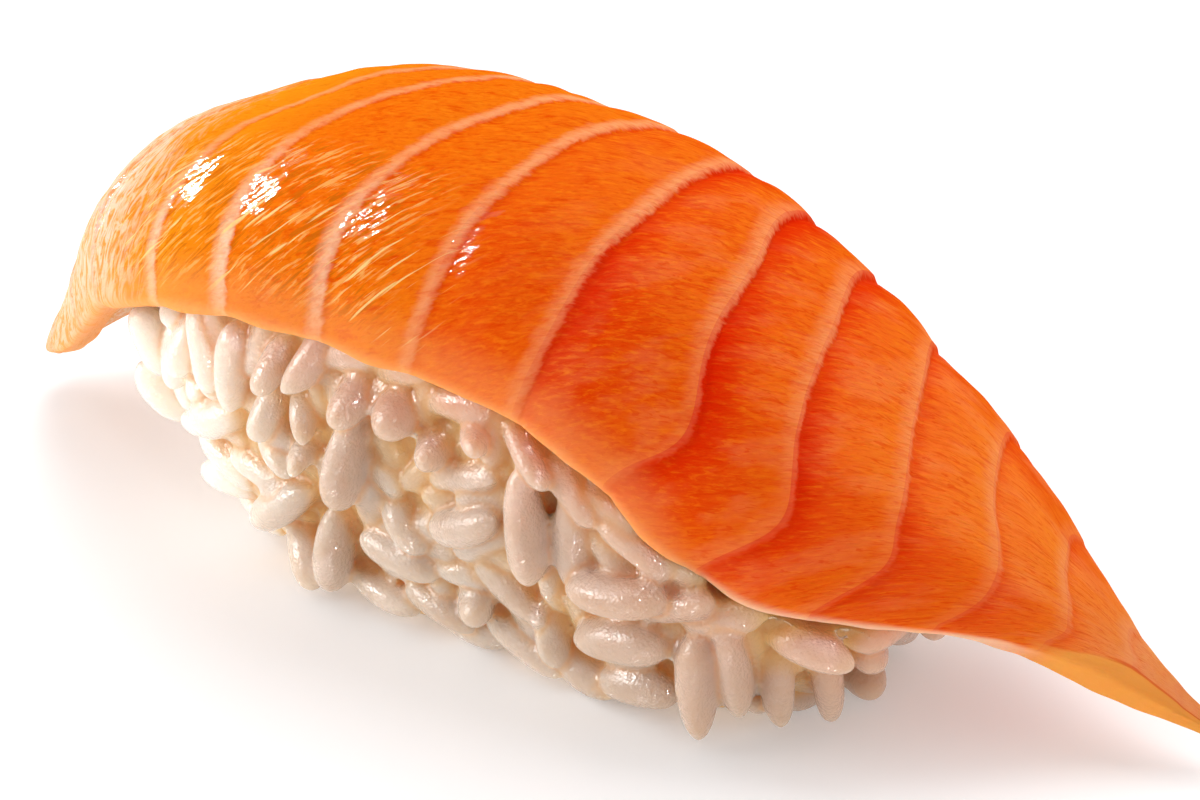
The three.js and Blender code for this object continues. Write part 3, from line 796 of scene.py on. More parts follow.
def fill_hollows(grains, open, closeness, sunk, size, seed):
    """Lays a grain in each place that no grain covers, turned the way that has the most room."""
    rng = np.random.default_rng(seed)
    places, ways_out = hollow_places()
    for n in rng.permutation(len(places)):
        outward = ways_out[n]
        centre = places[n] - outward * rng.uniform(*sunk)
        scale = rng.uniform(*size)
        length, width = GRAIN_LENGTH * scale, FULL_WIDTH * scale
        if grains.nearness(centre, outward, width, width) < open:
            continue
        level = unit(np.array([-outward[1], outward[0], 0]))
        steep = np.cross(outward, level)
        turns = rng.uniform(0, math.pi) + np.arange(HOLLOW_TURNS) * math.pi / HOLLOW_TURNS
        best, room = None, closeness
        for turn in turns:
            tilt = outward * rng.uniform(-HOLLOW_TILT, HOLLOW_TILT)
            axis = unit(level * math.cos(turn) + steep * math.sin(turn) + tilt)
            if centre[2] - (length - width) / 2 * abs(axis[2]) - width / 2 < FLOOR_GAP:
                continue
            nearness = grains.nearness(centre, axis, length, width)
            if nearness > room and clear_of_slice(centre, axis, length, width, HOLLOW_GAP, width / 2):
                best, room = axis, nearness
        if best is not None:
            grains.add(centre, best, length, width)


def tuck_under_slice(grains, seed):
    """Lays a row of grains right under the slice, where it leaves a gap over the others."""
    rng = np.random.default_rng(seed)
    for angle in rng.permutation(np.linspace(0, 2 * math.pi, TUCKED_TRIES, endpoint=False)):
        scale = rng.uniform(*TUCKED_SIZE)
        length, width = GRAIN_LENGTH * scale, FULL_WIDTH * scale
        lean = rng.uniform(-TUCKED_LEAN, TUCKED_LEAN)
        for z in np.arange(SCATTER_HIGHEST, SCATTER_LOWEST, -TUCKED_STEP):
            outward = unit(bed_normal(angle, z) * (1, 1, 0))
            axis = unit(np.array([-outward[1], outward[0], lean]))
            centre = bed_point(angle, z) - outward * TUCKED_DEPTH
            if clear_of_slice(centre, axis, length, width, HOLLOW_GAP, width / 2):
                if grains.nearness(centre, axis, length, width) > TUCKED_CLOSENESS:
                    grains.add(centre, axis, length, width)
                break


def lay_foot_row(grains, seed):
    """Lays level grains round the foot, close to the board, where there is room."""
    rng = np.random.default_rng(seed)
    for angle in rng.permutation(np.linspace(0, 2 * math.pi, FOOT_TRIES, endpoint=False)):
        scale = rng.uniform(*FOOT_SIZE)
        length, width = GRAIN_LENGTH * scale, FULL_WIDTH * scale
        z = width / 2 + FLOOR_GAP + rng.uniform(0, FOOT_RISE)
        outward = unit(bed_normal(angle, z) * (1, 1, 0))
        axis = np.array([-outward[1], outward[0], 0])
        centre = bed_point(angle, z) - outward * FOOT_DEPTH
        if grains.nearness(centre, axis, length, width) > FOOT_CLOSENESS:
            grains.add(centre, axis, length, width)


for centre, axis, length, width in END_GRAINS:
    grains.add(np.array(centre), unit(np.array(axis)), length, width)
tuck_under_slice(grains, seed=35)
lay_foot_row(grains, seed=36)
print("grains with the top row:", len(grains.centres))
for settings in HOLLOW_PASSES:
    fill_hollows(grains, **settings)
    print("grains with hollows filled:", len(grains.centres))

# %% [markdown]
# ## One cooked grain
# Cooked short-grain rice is plump, a little flatter one way than the other, and blunter at the end where the
# germ was. No two grains are the same, so each gets its own bend, flatness, pointedness and faint ridges. All
# grains are made together as one array of points, because a joined mesh keeps the file and the export light.

# %% Shape all the grains at once
GRAIN_RINGS = 14
GRAIN_SIDES = 16
GRAIN_SEED = 42
GRAIN_WAYS = {  # how far grains differ from each other
    "flat": (0.8, 0.96),
    "blunt": (2.1, 3.0),
    "full": (0.45, 0.54),
    "lean": (-0.17, 0.17),
    "bend": (-0.25, 0.25),
    "ridge": (0.0, 0.035),
    "roll": (0, 2 * math.pi),
    "tone": (0, 1),
}


def grain_points(grains):
    """Rings of points for every grain, with its two tips last, and its own random tone."""
    rng = np.random.default_rng(GRAIN_SEED)
    count = len(grains.centres)
    own = {way: rng.uniform(*span, count)[:, None, None] for way, span in GRAIN_WAYS.items()}
    t = np.cos(np.linspace(math.pi, 0, GRAIN_RINGS + 2)[1:-1])[None, :, None]
    turn = (np.arange(GRAIN_SIDES) * 2 * math.pi / GRAIN_SIDES)[None, None, :]
    radius = (1 - np.abs(t) ** own["blunt"]) ** own["full"] * (1 + own["lean"] * t)
    radius = radius * (1 + own["ridge"] * (np.cos(2 * (turn + own["roll"])) + 0.6 * np.cos(5 * turn)))
    half_width = grains.sizes[:, 1, None, None] / 2 + SWELLING
    half_length = grains.sizes[:, 0, None, None] / 2 + SWELLING
    u = (radius * np.cos(turn) + own["bend"] * (1 - t**2)) * half_width
    v = radius * np.sin(turn) * half_width * own["flat"]
    w = np.broadcast_to(t * half_length, u.shape)
    upright = np.abs(grains.axes[:, 2:]) > 0.9
    side = unit(np.cross(grains.axes, np.where(upright, (1.0, 0, 0), (0, 0, 1.0))))
    roll = own["roll"][:, 0]
    first = side * np.cos(roll) + np.cross(grains.axes, side) * np.sin(roll)
    second = np.cross(grains.axes, first)
    parts = [(u, first), (v, second), (w, grains.axes)]
    rings = sum(part[..., None] * way[:, None, None] for part, way in parts)
    rings = (rings + grains.centres[:, None, None]).reshape(count, -1, 3)
    tips = grains.centres[:, None] + np.array([-1, 1])[None, :, None] * half_length * grains.axes[:, None]
    points = np.concatenate([rings, tips], 1)
    return points, np.repeat(own["tone"].ravel(), points.shape[1])


def grain_faces(count):
    """The faces of one grain, repeated for all of them."""
    k = np.arange(GRAIN_SIDES)
    after = (k + 1) % GRAIN_SIDES
    tips = GRAIN_RINGS * GRAIN_SIDES
    last = (GRAIN_RINGS - 1) * GRAIN_SIDES
    one = [(tips, n, m) for m, n in zip(k, after)]
    one += [(tips + 1, last + m, last + n) for m, n in zip(k, after)]
    for ring in range(GRAIN_RINGS - 1):
        a = ring * GRAIN_SIDES
        one += [(a + m, a + n, a + GRAIN_SIDES + n, a + GRAIN_SIDES + m) for m, n in zip(k, after)]
    size = tips + 2
    return [tuple(int(i) + size * g for i in face) for g in range(count) for face in one]


def stand_out(points):
    """How far points stand out of the core's sides, in millimetres."""
    z = points[:, 2]
    below = np.clip(1 - z / BED_WIDEST_HEIGHT, 0, 1) ** 2
    above = np.clip((z - BED_WIDEST_HEIGHT) / (BED_DOME_HEIGHT - BED_WIDEST_HEIGHT), 0, 1)
    r = (1 - above**BED_DOME_POWER) ** (1 / BED_DOME_POWER)
    x = np.abs(points[:, 0] - BED_CENTRE_X) / (BED_HALF_LENGTH * (1 - BED_END_TAPER * below) * r)
    y = np.abs(points[:, 1] - BED_CENTRE_Y) / (BED_HALF_WIDTH * (1 - BED_SIDE_TAPER * below) * r)
    full = (x**BED_PLAN_POWER + y**BED_PLAN_POWER) ** (1 / BED_PLAN_POWER)
    slope = np.hypot((x / full) ** (BED_PLAN_POWER - 1) / (BED_HALF_LENGTH * r),
                     (y / full) ** (BED_PLAN_POWER - 1) / (BED_HALF_WIDTH * r))
    return (full - 1) / slope


grain_rings, grain_tones = grain_points(grains)
print("points on each grain:", grain_rings.shape[1])

# %% [markdown]
# ## Pressing the grains together
# Hands press the grains until they stick, so where two meet there is a soft joint and no gap. The core and
# all the grains are fused to one closed skin. Light then goes from grain to grain, as it does in real rice.
# Boolean unions of so many grains would be slow and leave hard creases, while a voxel remesh fuses them all
# at once. Everything is a little too thick while it fuses, which closes the narrow gaps, and the skin is
# drawn in by the same amount after. Then each point of it is told which grain it belongs to, and how near a
# joint it is.

# %% Fuse the core and the grains
SKIN_VOXEL = 0.2
SOFTENING = 0.5
SOFTENING_STEPS = 2
MOST_TRIANGLES = 190000
JOINT_WIDTH = 0.3
JOINT_DEPTH = 0.08
PAINTED_RIM_WIDTH = 0.9
SHADE_REACH = 3.8  # how far the painted peach light of the slice reaches over the rice under it
SHADE_LEAST = 0.3  # at the blunt end, where more light gets in
SHADE_FROM = -22
SHADE_RUN = 30
BARE_FROM = 0.2  # how far outside every grain the core shows bare
BARE_WIDTH = 0.6


def with_modifiers(points, faces, modifiers):
    """Makes a mesh, applies modifiers to it, and gives back its points and the corners of its faces."""
    lump = make_mesh("rice_lump", points, faces, {})
    for kind, settings in modifiers:
        modifier = lump.modifiers.new(kind.lower(), kind)
        for key, value in settings.items():
            setattr(modifier, key, value)
    done = bpy.data.meshes.new_from_object(lump.evaluated_get(bpy.context.evaluated_depsgraph_get()))
    skin = np.empty(3 * len(done.vertices), np.float32)
    done.vertices.foreach_get("co", skin)
    corners = np.empty(len(done.loops), np.int32)
    done.loops.foreach_get("vertex_index", corners)
    count = len(done.polygons)
    bpy.data.objects.remove(lump)
    bpy.data.meshes.remove(done)
    return skin.reshape(-1, 3).astype(float) / MM, corners.reshape(count, -1)


def pressed_skin(points, faces):
    """The outer skin of many closed forms that cross each other, with fewer faces where it is flat."""
    fused, quads = outermost(*with_modifiers(points, faces, [
        ("REMESH", {"mode": "VOXEL", "voxel_size": SKIN_VOXEL * MM}),
        ("SMOOTH", {"factor": SOFTENING, "iterations": SOFTENING_STEPS}),
    ]))
    print("fused skin:", 2 * len(quads), "triangles")
    halves = np.concatenate([quads[:, [0, 1, 2]], quads[:, [0, 2, 3]]])
    drawn_in = fused - skin_normals(fused, halves) * SWELLING
    return with_modifiers(drawn_in, quads.tolist(), [
        ("SMOOTH", {"factor": SOFTENING, "iterations": SOFTENING_STEPS}),
        ("TRIANGULATE", {}),
        ("DECIMATE", {"ratio": MOST_TRIANGLES / (2 * len(quads)), "use_collapse_triangulate": True}),
    ])


def outermost(points, quads):
    """The largest connected part, without the sealed hollows inside."""
    label = np.arange(len(points))
    a, b = quads.ravel(), np.roll(quads, -1, axis=1).ravel()
    while True:
        low = np.minimum(label[a], label[b])
        after = label.copy()
        np.minimum.at(after, a, low)
        np.minimum.at(after, b, low)
        after = after[after]
        if (after == label).all():
            break
        label = after
    keep = label == np.bincount(label).argmax()
    number = np.cumsum(keep) - 1
    return points[keep], number[quads[keep[quads[:, 0]]]]


def skin_normals(points, triangles):
    p = points[triangles]
    face = np.cross(p[:, 1] - p[:, 0], p[:, 2] - p[:, 0])
    out = np.zeros_like(points)
    for corner in range(3):
        np.add.at(out, triangles[:, corner], face)
    return unit(out)


def nearest_grains(points, grains):
    """The nearest grain to each point, how far outside it the point is, and how much further the next is."""
    first = np.full(len(points), np.inf)
    second = first.copy()
    which = np.zeros(len(points), int)
    for n, (centre, axis, size) in enumerate(zip(grains.centres, grains.axes, grains.sizes)):
        between = points - centre
        half = (size[0] - size[1]) / 2
        along = np.clip(between @ axis, -half, half)
        away = np.linalg.norm(between - along[:, None] * axis, axis=1) - size[1] / 2
        nearer = away < first
        second = np.where(nearer, first, np.minimum(second, away))
        which = np.where(nearer, n, which)
        first = np.where(nearer, away, first)
    return which, first, second - first


def distance_to_slice(points):
    """From each point to the underside of the slice, near enough."""
    out = np.full(len(points), np.inf)
    for feeler in feelers[::2]:
        np.minimum(out, np.linalg.norm(points - feeler, axis=1), out)
    return out


grain_count, points_each = grain_rings.shape[:2]
all_points = np.concatenate([grain_rings.reshape(-1, 3), core_points])
core_faces_moved = [tuple(int(i) + grain_count * points_each for i in face) for face in core_faces]
skin_points, skin_faces = pressed_skin(all_points, grain_faces(grain_count) + core_faces_moved)
owner, outside, lead = nearest_grains(skin_points, grains)
joint = np.exp(-((lead / JOINT_WIDTH) ** 2))
bare = smoothstep((outside - BARE_FROM) / BARE_WIDTH)
skin_points = skin_points - skin_normals(skin_points, skin_faces) * (JOINT_DEPTH * joint)[:, None]
skin_points[:, 2] = np.maximum(skin_points[:, 2], 0)
# painted peach light on the rice under the slice, least at the blunt end
painted_slice_light = np.exp(-distance_to_slice(skin_points) / SHADE_REACH)
painted_slice_light = painted_slice_light * lerp(SHADE_LEAST, 1, smoothstep((skin_points[:, 0] - SHADE_FROM) / SHADE_RUN))
rice = make_mesh("pressed_rice", skin_points, skin_faces.tolist(), {
    "tone": grain_tones.reshape(grain_count, -1)[owner, 0],
    "joint": np.maximum(joint, bare),
    # painted rim light, lighter near each joint
    "rim": np.exp(-((lead / PAINTED_RIM_WIDTH) ** 2)),
    "stand": stand_out(skin_points),
    "painted_slice_light": painted_slice_light,
    "place": skin_points,
})
print("rice:", len(skin_faces), "triangles from", grain_count, "grains")

# %% [markdown]
# ## Building a finish from nodes
# A finish is a small network of nodes: textures make uneven masks, and the masks mix colours and raise the
# surface. A few short helpers keep that readable. One adds a node, sets it up and wires its inputs, and the
# others do sums between masks, or mix two colours by a mask. The same network could be wired by hand in the
# shader editor, but in code a loop can take up what repeats.

# %% Helpers for nodes
def feed(tree, node, inputs):
    """Gives a node its inputs: numbers and colours as they are, and other nodes' outputs as links."""
    for key, value in inputs.items():
        if isinstance(value, bpy.types.NodeSocket):
            tree.links.new(value, node.inputs[key])
        else:
            node.inputs[key].default_value = value


def add(tree, kind, inputs=None, **settings):
    node = tree.nodes.new("ShaderNode" + kind)
    for key, value in settings.items():
        setattr(node, key, value)
    feed(tree, node, inputs or {})
    return node


def sums(tree, operation, *values):
    """One step of arithmetic."""
    return add(tree, "Math", dict(enumerate(values)), operation=operation).outputs[0]


def product(tree, first, *others):
    """Several masks multiplied."""
    for other in others:
        first = sums(tree, "MULTIPLY", first, other)
    return first


def ramp(tree, value, low, high, start=0.0, end=1.0, kind="SMOOTHSTEP"):
    """Maps low..high to start..end, softly."""
    inputs = {"Value": value, "From Min": low, "From Max": high, "To Min": start, "To Max": end}
    return add(tree, "MapRange", inputs, interpolation_type=kind).outputs[0]


def attribute(tree, name, output="Fac"):
    return add(tree, "Attribute", attribute_name=name).outputs[output]


def blend(tree, mask, first, second):
    """Mixes two colours by a mask."""
    return add(tree, "Mix", {0: mask, 6: first, 7: second}, data_type="RGBA").outputs[2]


def colour(red, green, blue):
    """A colour as seen on a screen, 0..255, as the linear numbers that nodes use."""
    screen = np.array([red, green, blue]) / 255
    return (*np.where(screen <= 0.04045, screen / 12.92, ((screen + 0.055) / 1.055) ** 2.4), 1)


print("mid grey:", round(float(colour(128, 128, 128)[0]), 3))

# %% [markdown]
# ## Two shared effects
# Flesh and rice have two things in common: their colour drifts from place to place, and a film of moisture
# lies unevenly over them. Each effect is a node group with named inputs, made once. `drift` gives a soft
# mask of patches, and `moisture` gives a roughness that changes in patches, with fine relief to go with it.

# %% Make the shared groups
def make_group(name, inputs, outputs):
    group = bpy.data.node_groups.new(name, "ShaderNodeTree")
    for label, kind, value in inputs:
        socket = group.interface.new_socket(label, in_out="INPUT", socket_type=kind)
        if value is not None:
            socket.default_value = value
    for label, kind in outputs:
        group.interface.new_socket(label, in_out="OUTPUT", socket_type=kind)
    return group, group.nodes.new("NodeGroupInput").outputs, group.nodes.new("NodeGroupOutput").inputs


def make_drift():
    group, given, out = make_group("drift", [
        ("Vector", "NodeSocketVector", None),
        ("Scale", "NodeSocketFloat", 1.0),
        ("Low", "NodeSocketFloat", 0.0),
        ("High", "NodeSocketFloat", 1.0),
    ], [("Mask", "NodeSocketFloat")])
    noise = add(group, "TexNoise", {
        "Vector": given["Vector"], "Scale": given["Scale"], "Detail": 3, "Roughness": 0.55,
    })
    mask = ramp(group, noise.outputs["Fac"], 0.3, 0.7, given["Low"], given["High"])
    group.links.new(mask, out["Mask"])
    return group


def make_moisture():
    group, given, out = make_group("moisture", [
        ("Vector", "NodeSocketVector", None),
        ("Patch scale", "NodeSocketFloat", 0.4),
        ("Pore scale", "NodeSocketFloat", 4.0),
        ("Wet", "NodeSocketFloat", 0.15),
        ("Dry", "NodeSocketFloat", 0.4),
    ], [("Roughness", "NodeSocketFloat"), ("Relief", "NodeSocketFloat")])
    patches = add(group, "TexNoise", {"Vector": given["Vector"], "Scale": given["Patch scale"], "Detail": 2})
    pores = add(group, "TexNoise", {
        "Vector": given["Vector"], "Scale": given["Pore scale"], "Detail": 1, "Roughness": 0.5,
    })
    roughness = ramp(group, patches.outputs["Fac"], 0.35, 0.65, given["Wet"], given["Dry"])
    group.links.new(roughness, out["Roughness"])
    group.links.new(pores.outputs["Fac"], out["Relief"])
    return group


drift_group = make_drift()
moisture_group = make_moisture()


def place_group(tree, group, **inputs):
    node = tree.nodes.new("ShaderNodeGroup")
    node.node_tree = group
    feed(tree, node, {key.replace("_", " "): value for key, value in inputs.items()})
    return node.outputs


print("groups:", [group.name for group in bpy.data.node_groups])

# %% [markdown]
# ## The flesh
# The colour of salmon comes from a pigment that is spread through clear, watery muscle. Light goes a few
# millimetres into it, red furthest, so thin edges glow yellow-orange and deep flesh looks red. Over that lie
# the pale lines of fat, darker open grooves beside them, and fine strands that run from line to line. Light
# and shade are painted in as well: lighter near the blunt end, on the rise of each flake and at the thin
# edges, and redder in the grooves, on the near side towards the tail and along the tail's fold. The tip is
# pale and streaky, partly with painted light, and slanting strands and bright scratches mark the near
# shoulder, the scratches with painted highlights. A painted picture could show all this, but only as sharply
# as it was painted. Here every mask is worked out from the mesh's own numbers: the line number, the flake's
# length and the strand's place. Each step below takes the colour so far and lays one thing over it.

# %% Colours of the flesh
TIP_PALE_LIT = colour(246, 205, 170)
TIP_GOLD = colour(238, 158, 84)
SOFT_END = colour(242, 140, 18)
CREST_ORANGE = colour(240, 106, 10)
DEEP_ORANGE = colour(240, 90, 22)
TAIL_ORANGE = colour(252, 126, 46)
TAIL_PALE = colour(255, 160, 96)
TAIL_GOLD = colour(255, 164, 76)
NEAR_RED = colour(228, 58, 0)
GROOVE_RED_SHADE = colour(224, 36, 2)
STRAND_LIGHT = colour(250, 134, 22)
STRAND_DARK = colour(226, 58, 0)
STRAND_GOLD = colour(224, 112, 12)
SLANT_LIGHT = colour(250, 178, 96)
SLANT_DARK = colour(208, 104, 14)
FAT_PEACH = colour(255, 160, 104)
FAT_PALE = colour(255, 212, 178)
EDGE_PALE = colour(250, 162, 96)
SCRATCH_GLINT_PALE = colour(255, 214, 140)


def new_material(name):
    material = bpy.data.materials.new(name)
    material.use_nodes = True
    tree = material.node_tree
    tree.nodes.clear()
    shader = tree.nodes.new("ShaderNodeBsdfPrincipled")
    output = tree.nodes.new("ShaderNodeOutputMaterial")
    tree.links.new(shader.outputs[0], output.inputs[0])
    return material, tree, shader


def flake_masks(tree):
    """How far a place is past the last line and short of the next one, in millimetres, and 0..1 between."""
    line = attribute(tree, "line")
    flake = attribute(tree, "flake")
    within = sums(tree, "FRACT", line)
    past = sums(tree, "MULTIPLY", within, flake)
    short = sums(tree, "SUBTRACT", flake, past)
    return within, past, short


def strands(tree, along, over, turn=0.0, detail=3, twist=0.4):
    """Fine threads that run along the slice, from line to line, or turned by an angle in degrees."""
    strand = attribute(tree, "strand", "Vector")
    parts = add(tree, "SeparateXYZ", {0: strand}).outputs
    cosine, sine = math.cos(math.radians(turn)), math.sin(math.radians(turn))
    first = sums(tree, "MULTIPLY", parts[1], along * sine)
    first = sums(tree, "MULTIPLY_ADD", parts[0], along * cosine, first)
    second = sums(tree, "MULTIPLY", parts[0], -over * sine)
    second = sums(tree, "MULTIPLY_ADD", parts[1], over * cosine, second)
    combined = add(tree, "CombineXYZ", {0: first, 1: second, 2: parts[2]})
    noise = add(tree, "TexNoise", {
        "Vector": combined.outputs[0], "Scale": 1.0, "Detail": detail, "Roughness": 0.6, "Distortion": twist,
    })
    return noise.outputs["Fac"]


def window(tree, value, low, high, soft):
    """1 between low and high, falling to 0 over the soft width on both sides."""
    return product(tree, ramp(tree, value, low - soft, low), ramp(tree, value, high + soft, high))


print("flesh colours ready")

# %% Where the masks find their place
def flesh_facts(tree):
    """The place on the slice and on its flake, and the threads that the masks are made of."""
    across = attribute(tree, "across")
    within, past, short = flake_masks(tree)
    return SimpleNamespace(
        share=attribute(tree, "share"),
        across=across,
        side=sums(tree, "ABSOLUTE", across),
        strand=attribute(tree, "strand", "Vector"),
        within=within,
        past=past,
        short=short,
        coarse=strands(tree, along=0.45, over=1.2),
        middling=strands(tree, along=1.0, over=2.4, turn=-7),
        fine=strands(tree, along=1.7, over=4.2, turn=4),
        slanted=strands(tree, along=0.45, over=2.4, turn=41),
        upright=strands(tree, along=0.45, over=1.3, turn=84, twist=1.4),
    )


def strayed(tree, distance, noise, amount):
    """A distance in millimetres, made uneven by a noise."""
    return sums(tree, "MULTIPLY_ADD", sums(tree, "SUBTRACT", noise, 0.5), amount, distance)


print("threads: coarse, middling, fine, slanted and upright")

# %% The ground and its strands
GROUND = [  # between which shares each colour fades in
    (0.32, 0.44, CREST_ORANGE),
    (0.48, 0.64, DEEP_ORANGE),
    (0.66, 0.86, TAIL_ORANGE),
    (0.86, 0.92, TAIL_PALE),
]


def ground_colour(tree, at):
    """The colour drifts along the slice; the near side gets painted light and painted shade."""
    base = SOFT_END
    for low, high, tint in GROUND:
        base = blend(tree, ramp(tree, at.share, low, high), base, tint)
    # painted light: the near side of the blunt half is painted lighter, towards the blunt end's colour
    painted_near_light = product(tree, ramp(tree, at.side, 0.5, 0.95), ramp(tree, at.share, 0.6, 0.5, 0.0, 0.4))
    base = blend(tree, painted_near_light, base, SOFT_END)
    # painted shade: the near side towards the tail is painted deeper red, where less light reaches it
    depth = product(tree, window(tree, at.side, 0.5, 0.85, 0.2), window(tree, at.share, 0.6, 0.82, 0.08), 0.7)
    return blend(tree, depth, base, NEAR_RED)


def strand_colours(tree, at, base):
    """Each flake is painted lighter towards its far end, as light on its rise, with strands that run along
    it.
    """
    # painted light where each flake rises towards the next line
    painted_rise_light = sums(tree, "MULTIPLY_ADD", at.coarse, 0.5, at.within)
    base = blend(tree, ramp(tree, painted_rise_light, 0.5, 1.2, 0.0, 0.3), base, STRAND_LIGHT)
    plain = ramp(tree, at.share, 0.64, 0.78, 1.0, 0.6)
    dark = blend(tree, ramp(tree, at.share, 0.46, 0.36), STRAND_DARK, STRAND_GOLD)
    for noise, low, high, most, tint in [
        (at.coarse, 0.47, 0.33, 0.5, dark),
        (at.fine, 0.5, 0.3, 0.45, dark),
        (at.middling, 0.5, 0.68, 0.4, STRAND_LIGHT),
        (at.fine, 0.5, 0.72, 0.4, STRAND_LIGHT),
    ]:
        base = blend(tree, product(tree, ramp(tree, noise, low, high, 0.0, most), plain), base, tint)
    return base


def clouds_and_ripples(tree, at, base):
    """Towards the tail the flesh is cloudier, with short dark ripples."""
    far = ramp(tree, at.share, 0.54, 0.64)
    cloud = place_group(tree, drift_group, Vector=at.strand, Scale=0.3, Low=0.0, High=1.0)["Mask"]
    base = blend(tree, product(tree, far, ramp(tree, cloud, 0.4, 1.0, 0.0, 0.15)), base, FAT_PEACH)
    ripples = strands(tree, along=0.9, over=2.6, turn=-12, detail=2, twist=1.2)
    return blend(tree, product(tree, far, ramp(tree, ripples, 0.45, 0.34, 0.0, 0.5)), base, NEAR_RED)


def tip_and_shoulder(tree, at, base):
    """The near shoulder is marked by slanting strands, and the pale tip, partly painted light, by upright
    ones.
    """
    near = window(tree, at.across, -0.85, -0.4, 0.1)
    shoulder = product(tree, window(tree, at.share, 0.28, 0.5, 0.03), near)
    for low, high, most, tint in [(0.53, 0.62, 0.75, SLANT_LIGHT), (0.47, 0.38, 0.8, SLANT_DARK)]:
        base = blend(tree, product(tree, shoulder, ramp(tree, at.slanted, low, high, 0.0, most)), base, tint)
    # the tip is paler flesh, with painted light where its thin end lets light through
    tip = ramp(tree, sums(tree, "MULTIPLY_ADD", at.upright, 0.1, at.share), 0.385, 0.31)
    return blend(tree, tip, base, blend(tree, ramp(tree, at.upright, 0.44, 0.62), TIP_PALE_LIT, TIP_GOLD))


print("steps along the ground:", len(GROUND))

# %% [markdown]
# ## Grooves and fat
# A line of fat is a thin sheet seen from its edge. It fades into the flesh before it, frays at its border,
# and ends at the foot of the drop. Where the slice bends hardest the flakes come apart. The deeper flesh in
# the gap looks red, and the gap is painted red as well, as painted shade at the foot of the drop. Both masks
# come from the distance to the line in millimetres. Thread noise is added to that distance, because a mask
# made from the distance alone looks ruled.

# %% The grooves and the lines of fat
def open_grooves(tree, at, base):
    """Past each line the flake starts deeper red, most where the groove is open: deeper flesh and painted
    shade.
    """
    groove = attribute(tree, "groove")
    reach = sums(tree, "MULTIPLY_ADD", groove, 3.2, 0.8)
    foot = ramp(tree, sums(tree, "DIVIDE", strayed(tree, at.past, at.middling, 3.0), reach), 1.0, 0.1)
    # painted shade at the foot of each drop, over flesh that is deeper red there
    return blend(tree, product(tree, foot, sums(tree, "MULTIPLY_ADD", groove, 0.8, 0.2)), base, GROOVE_RED_SHADE)


def fat_lines(tree, at, base):
    """The fat fades in before its line, and out again at the foot of the drop."""
    low_end = product(tree, ramp(tree, at.side, 0.3, 0.8), ramp(tree, at.share, 0.56, 0.42))
    lumps = strands(tree, along=1.6, over=1.2, detail=1, twist=0.8)
    teeth = product(tree, sums(tree, "SUBTRACT", lumps, 0.5), ramp(tree, at.share, 0.5, 0.64, 0.35, 0.6))
    outer = sums(tree, "MULTIPLY_ADD", low_end, 0.45, ramp(tree, at.share, 0.55, 0.66, 0.8, 1.4))
    before = ramp(tree, sums(tree, "ADD", strayed(tree, at.short, at.coarse, 0.9), teeth), outer, 0.05)
    after = ramp(tree, sums(tree, "ADD", strayed(tree, at.past, at.fine, 0.5), teeth), 0.55, 0.2)
    line = product(
        tree,
        sums(tree, "MAXIMUM", before, after),
        attribute(tree, "fat"),
        ramp(tree, at.fine, 0.25, 0.6, 0.7, 1.0),
        ramp(tree, at.coarse, 0.35, 0.55, 0.65, 1.0),
    )
    paleness = sums(tree, "MAXIMUM", low_end, ramp(tree, at.share, 0.32, 0.16))
    return blend(tree, line, base, blend(tree, paleness, FAT_PEACH, FAT_PALE))


print("fat and grooves ready")

# %% [markdown]
# ## Edges, scratches and water
# The slice is thin at its long edges, so more light comes through, and they are painted paler for it. At the
# tail the knife's cut shows as a golden face, with painted shade along its fold. A few bright scratches on
# the near shoulder are painted highlights. Water on raw fish lies in patches, and only there does it mirror a
# lamp. A glossy shader all over would put a veil on the colour, so the flesh itself has no gloss: the water
# is a coat, and a mask says where it lies.

# %% The edges, the scratch glints and the water
def thin_edges(tree, at, base):
    """The thin cut edges are painted paler, for the light that comes through them."""
    margin = sums(tree, "SUBTRACT", at.side, ramp(tree, at.share, 0.68, 0.74, 0.0, 0.12))
    # painted light: the thin edges are painted paler
    thin = product(tree, ramp(tree, margin, 0.78, 0.95, 0.0, 0.35), ramp(tree, at.share, 0.78, 0.72))
    base = blend(tree, thin, base, EDGE_PALE)
    rim = product(tree, ramp(tree, at.side, 0.95, 1.0, 0.0, 0.7), ramp(tree, at.share, 0.88, 0.84, 0.2, 1.0))
    return blend(tree, rim, base, blend(tree, ramp(tree, at.share, 0.7, 0.76), EDGE_PALE, FAT_PALE))


def cut_tail(tree, at, base):
    """The tail shows its golden cut face, with painted shade along its fold and a streaky ridge over it."""
    ridge = sums(tree, "SUBTRACT", at.across, ramp(tree, at.share, 0.87, 0.92, -0.88, -0.46))
    cut_face = product(tree, ramp(tree, at.share, 0.855, 0.88), ramp(tree, ridge, 0.03, -0.03))
    base = blend(tree, cut_face, base, TAIL_GOLD)
    # painted shade along the fold
    fold = product(tree, ramp(tree, at.share, 0.89, 0.91, 0.0, 0.6), window(tree, ridge, -0.02, 0.04, 0.05))
    base = blend(tree, fold, base, STRAND_DARK)
    above = product(tree, ramp(tree, at.share, 0.88, 0.92), window(tree, ridge, 0.12, 0.5, 0.08))
    return blend(tree, product(tree, above, ramp(tree, at.slanted, 0.45, 0.6, 0.0, 0.6)), base, FAT_PEACH)


def glinting_scratches(tree, at, base):
    """Painted highlights: a few thin bright streaks cross the near shoulder."""
    # painted highlights: thin bright streaks on the near shoulder
    scratch_glint = ramp(tree, strands(tree, along=0.22, over=2.4, turn=41, detail=1), 0.63, 0.7, 0.0, 0.9)
    region = product(tree, window(tree, at.share, 0.3, 0.52, 0.04), window(tree, at.across, -0.85, -0.5, 0.1))
    return blend(tree, product(tree, scratch_glint, region), base, SCRATCH_GLINT_PALE)


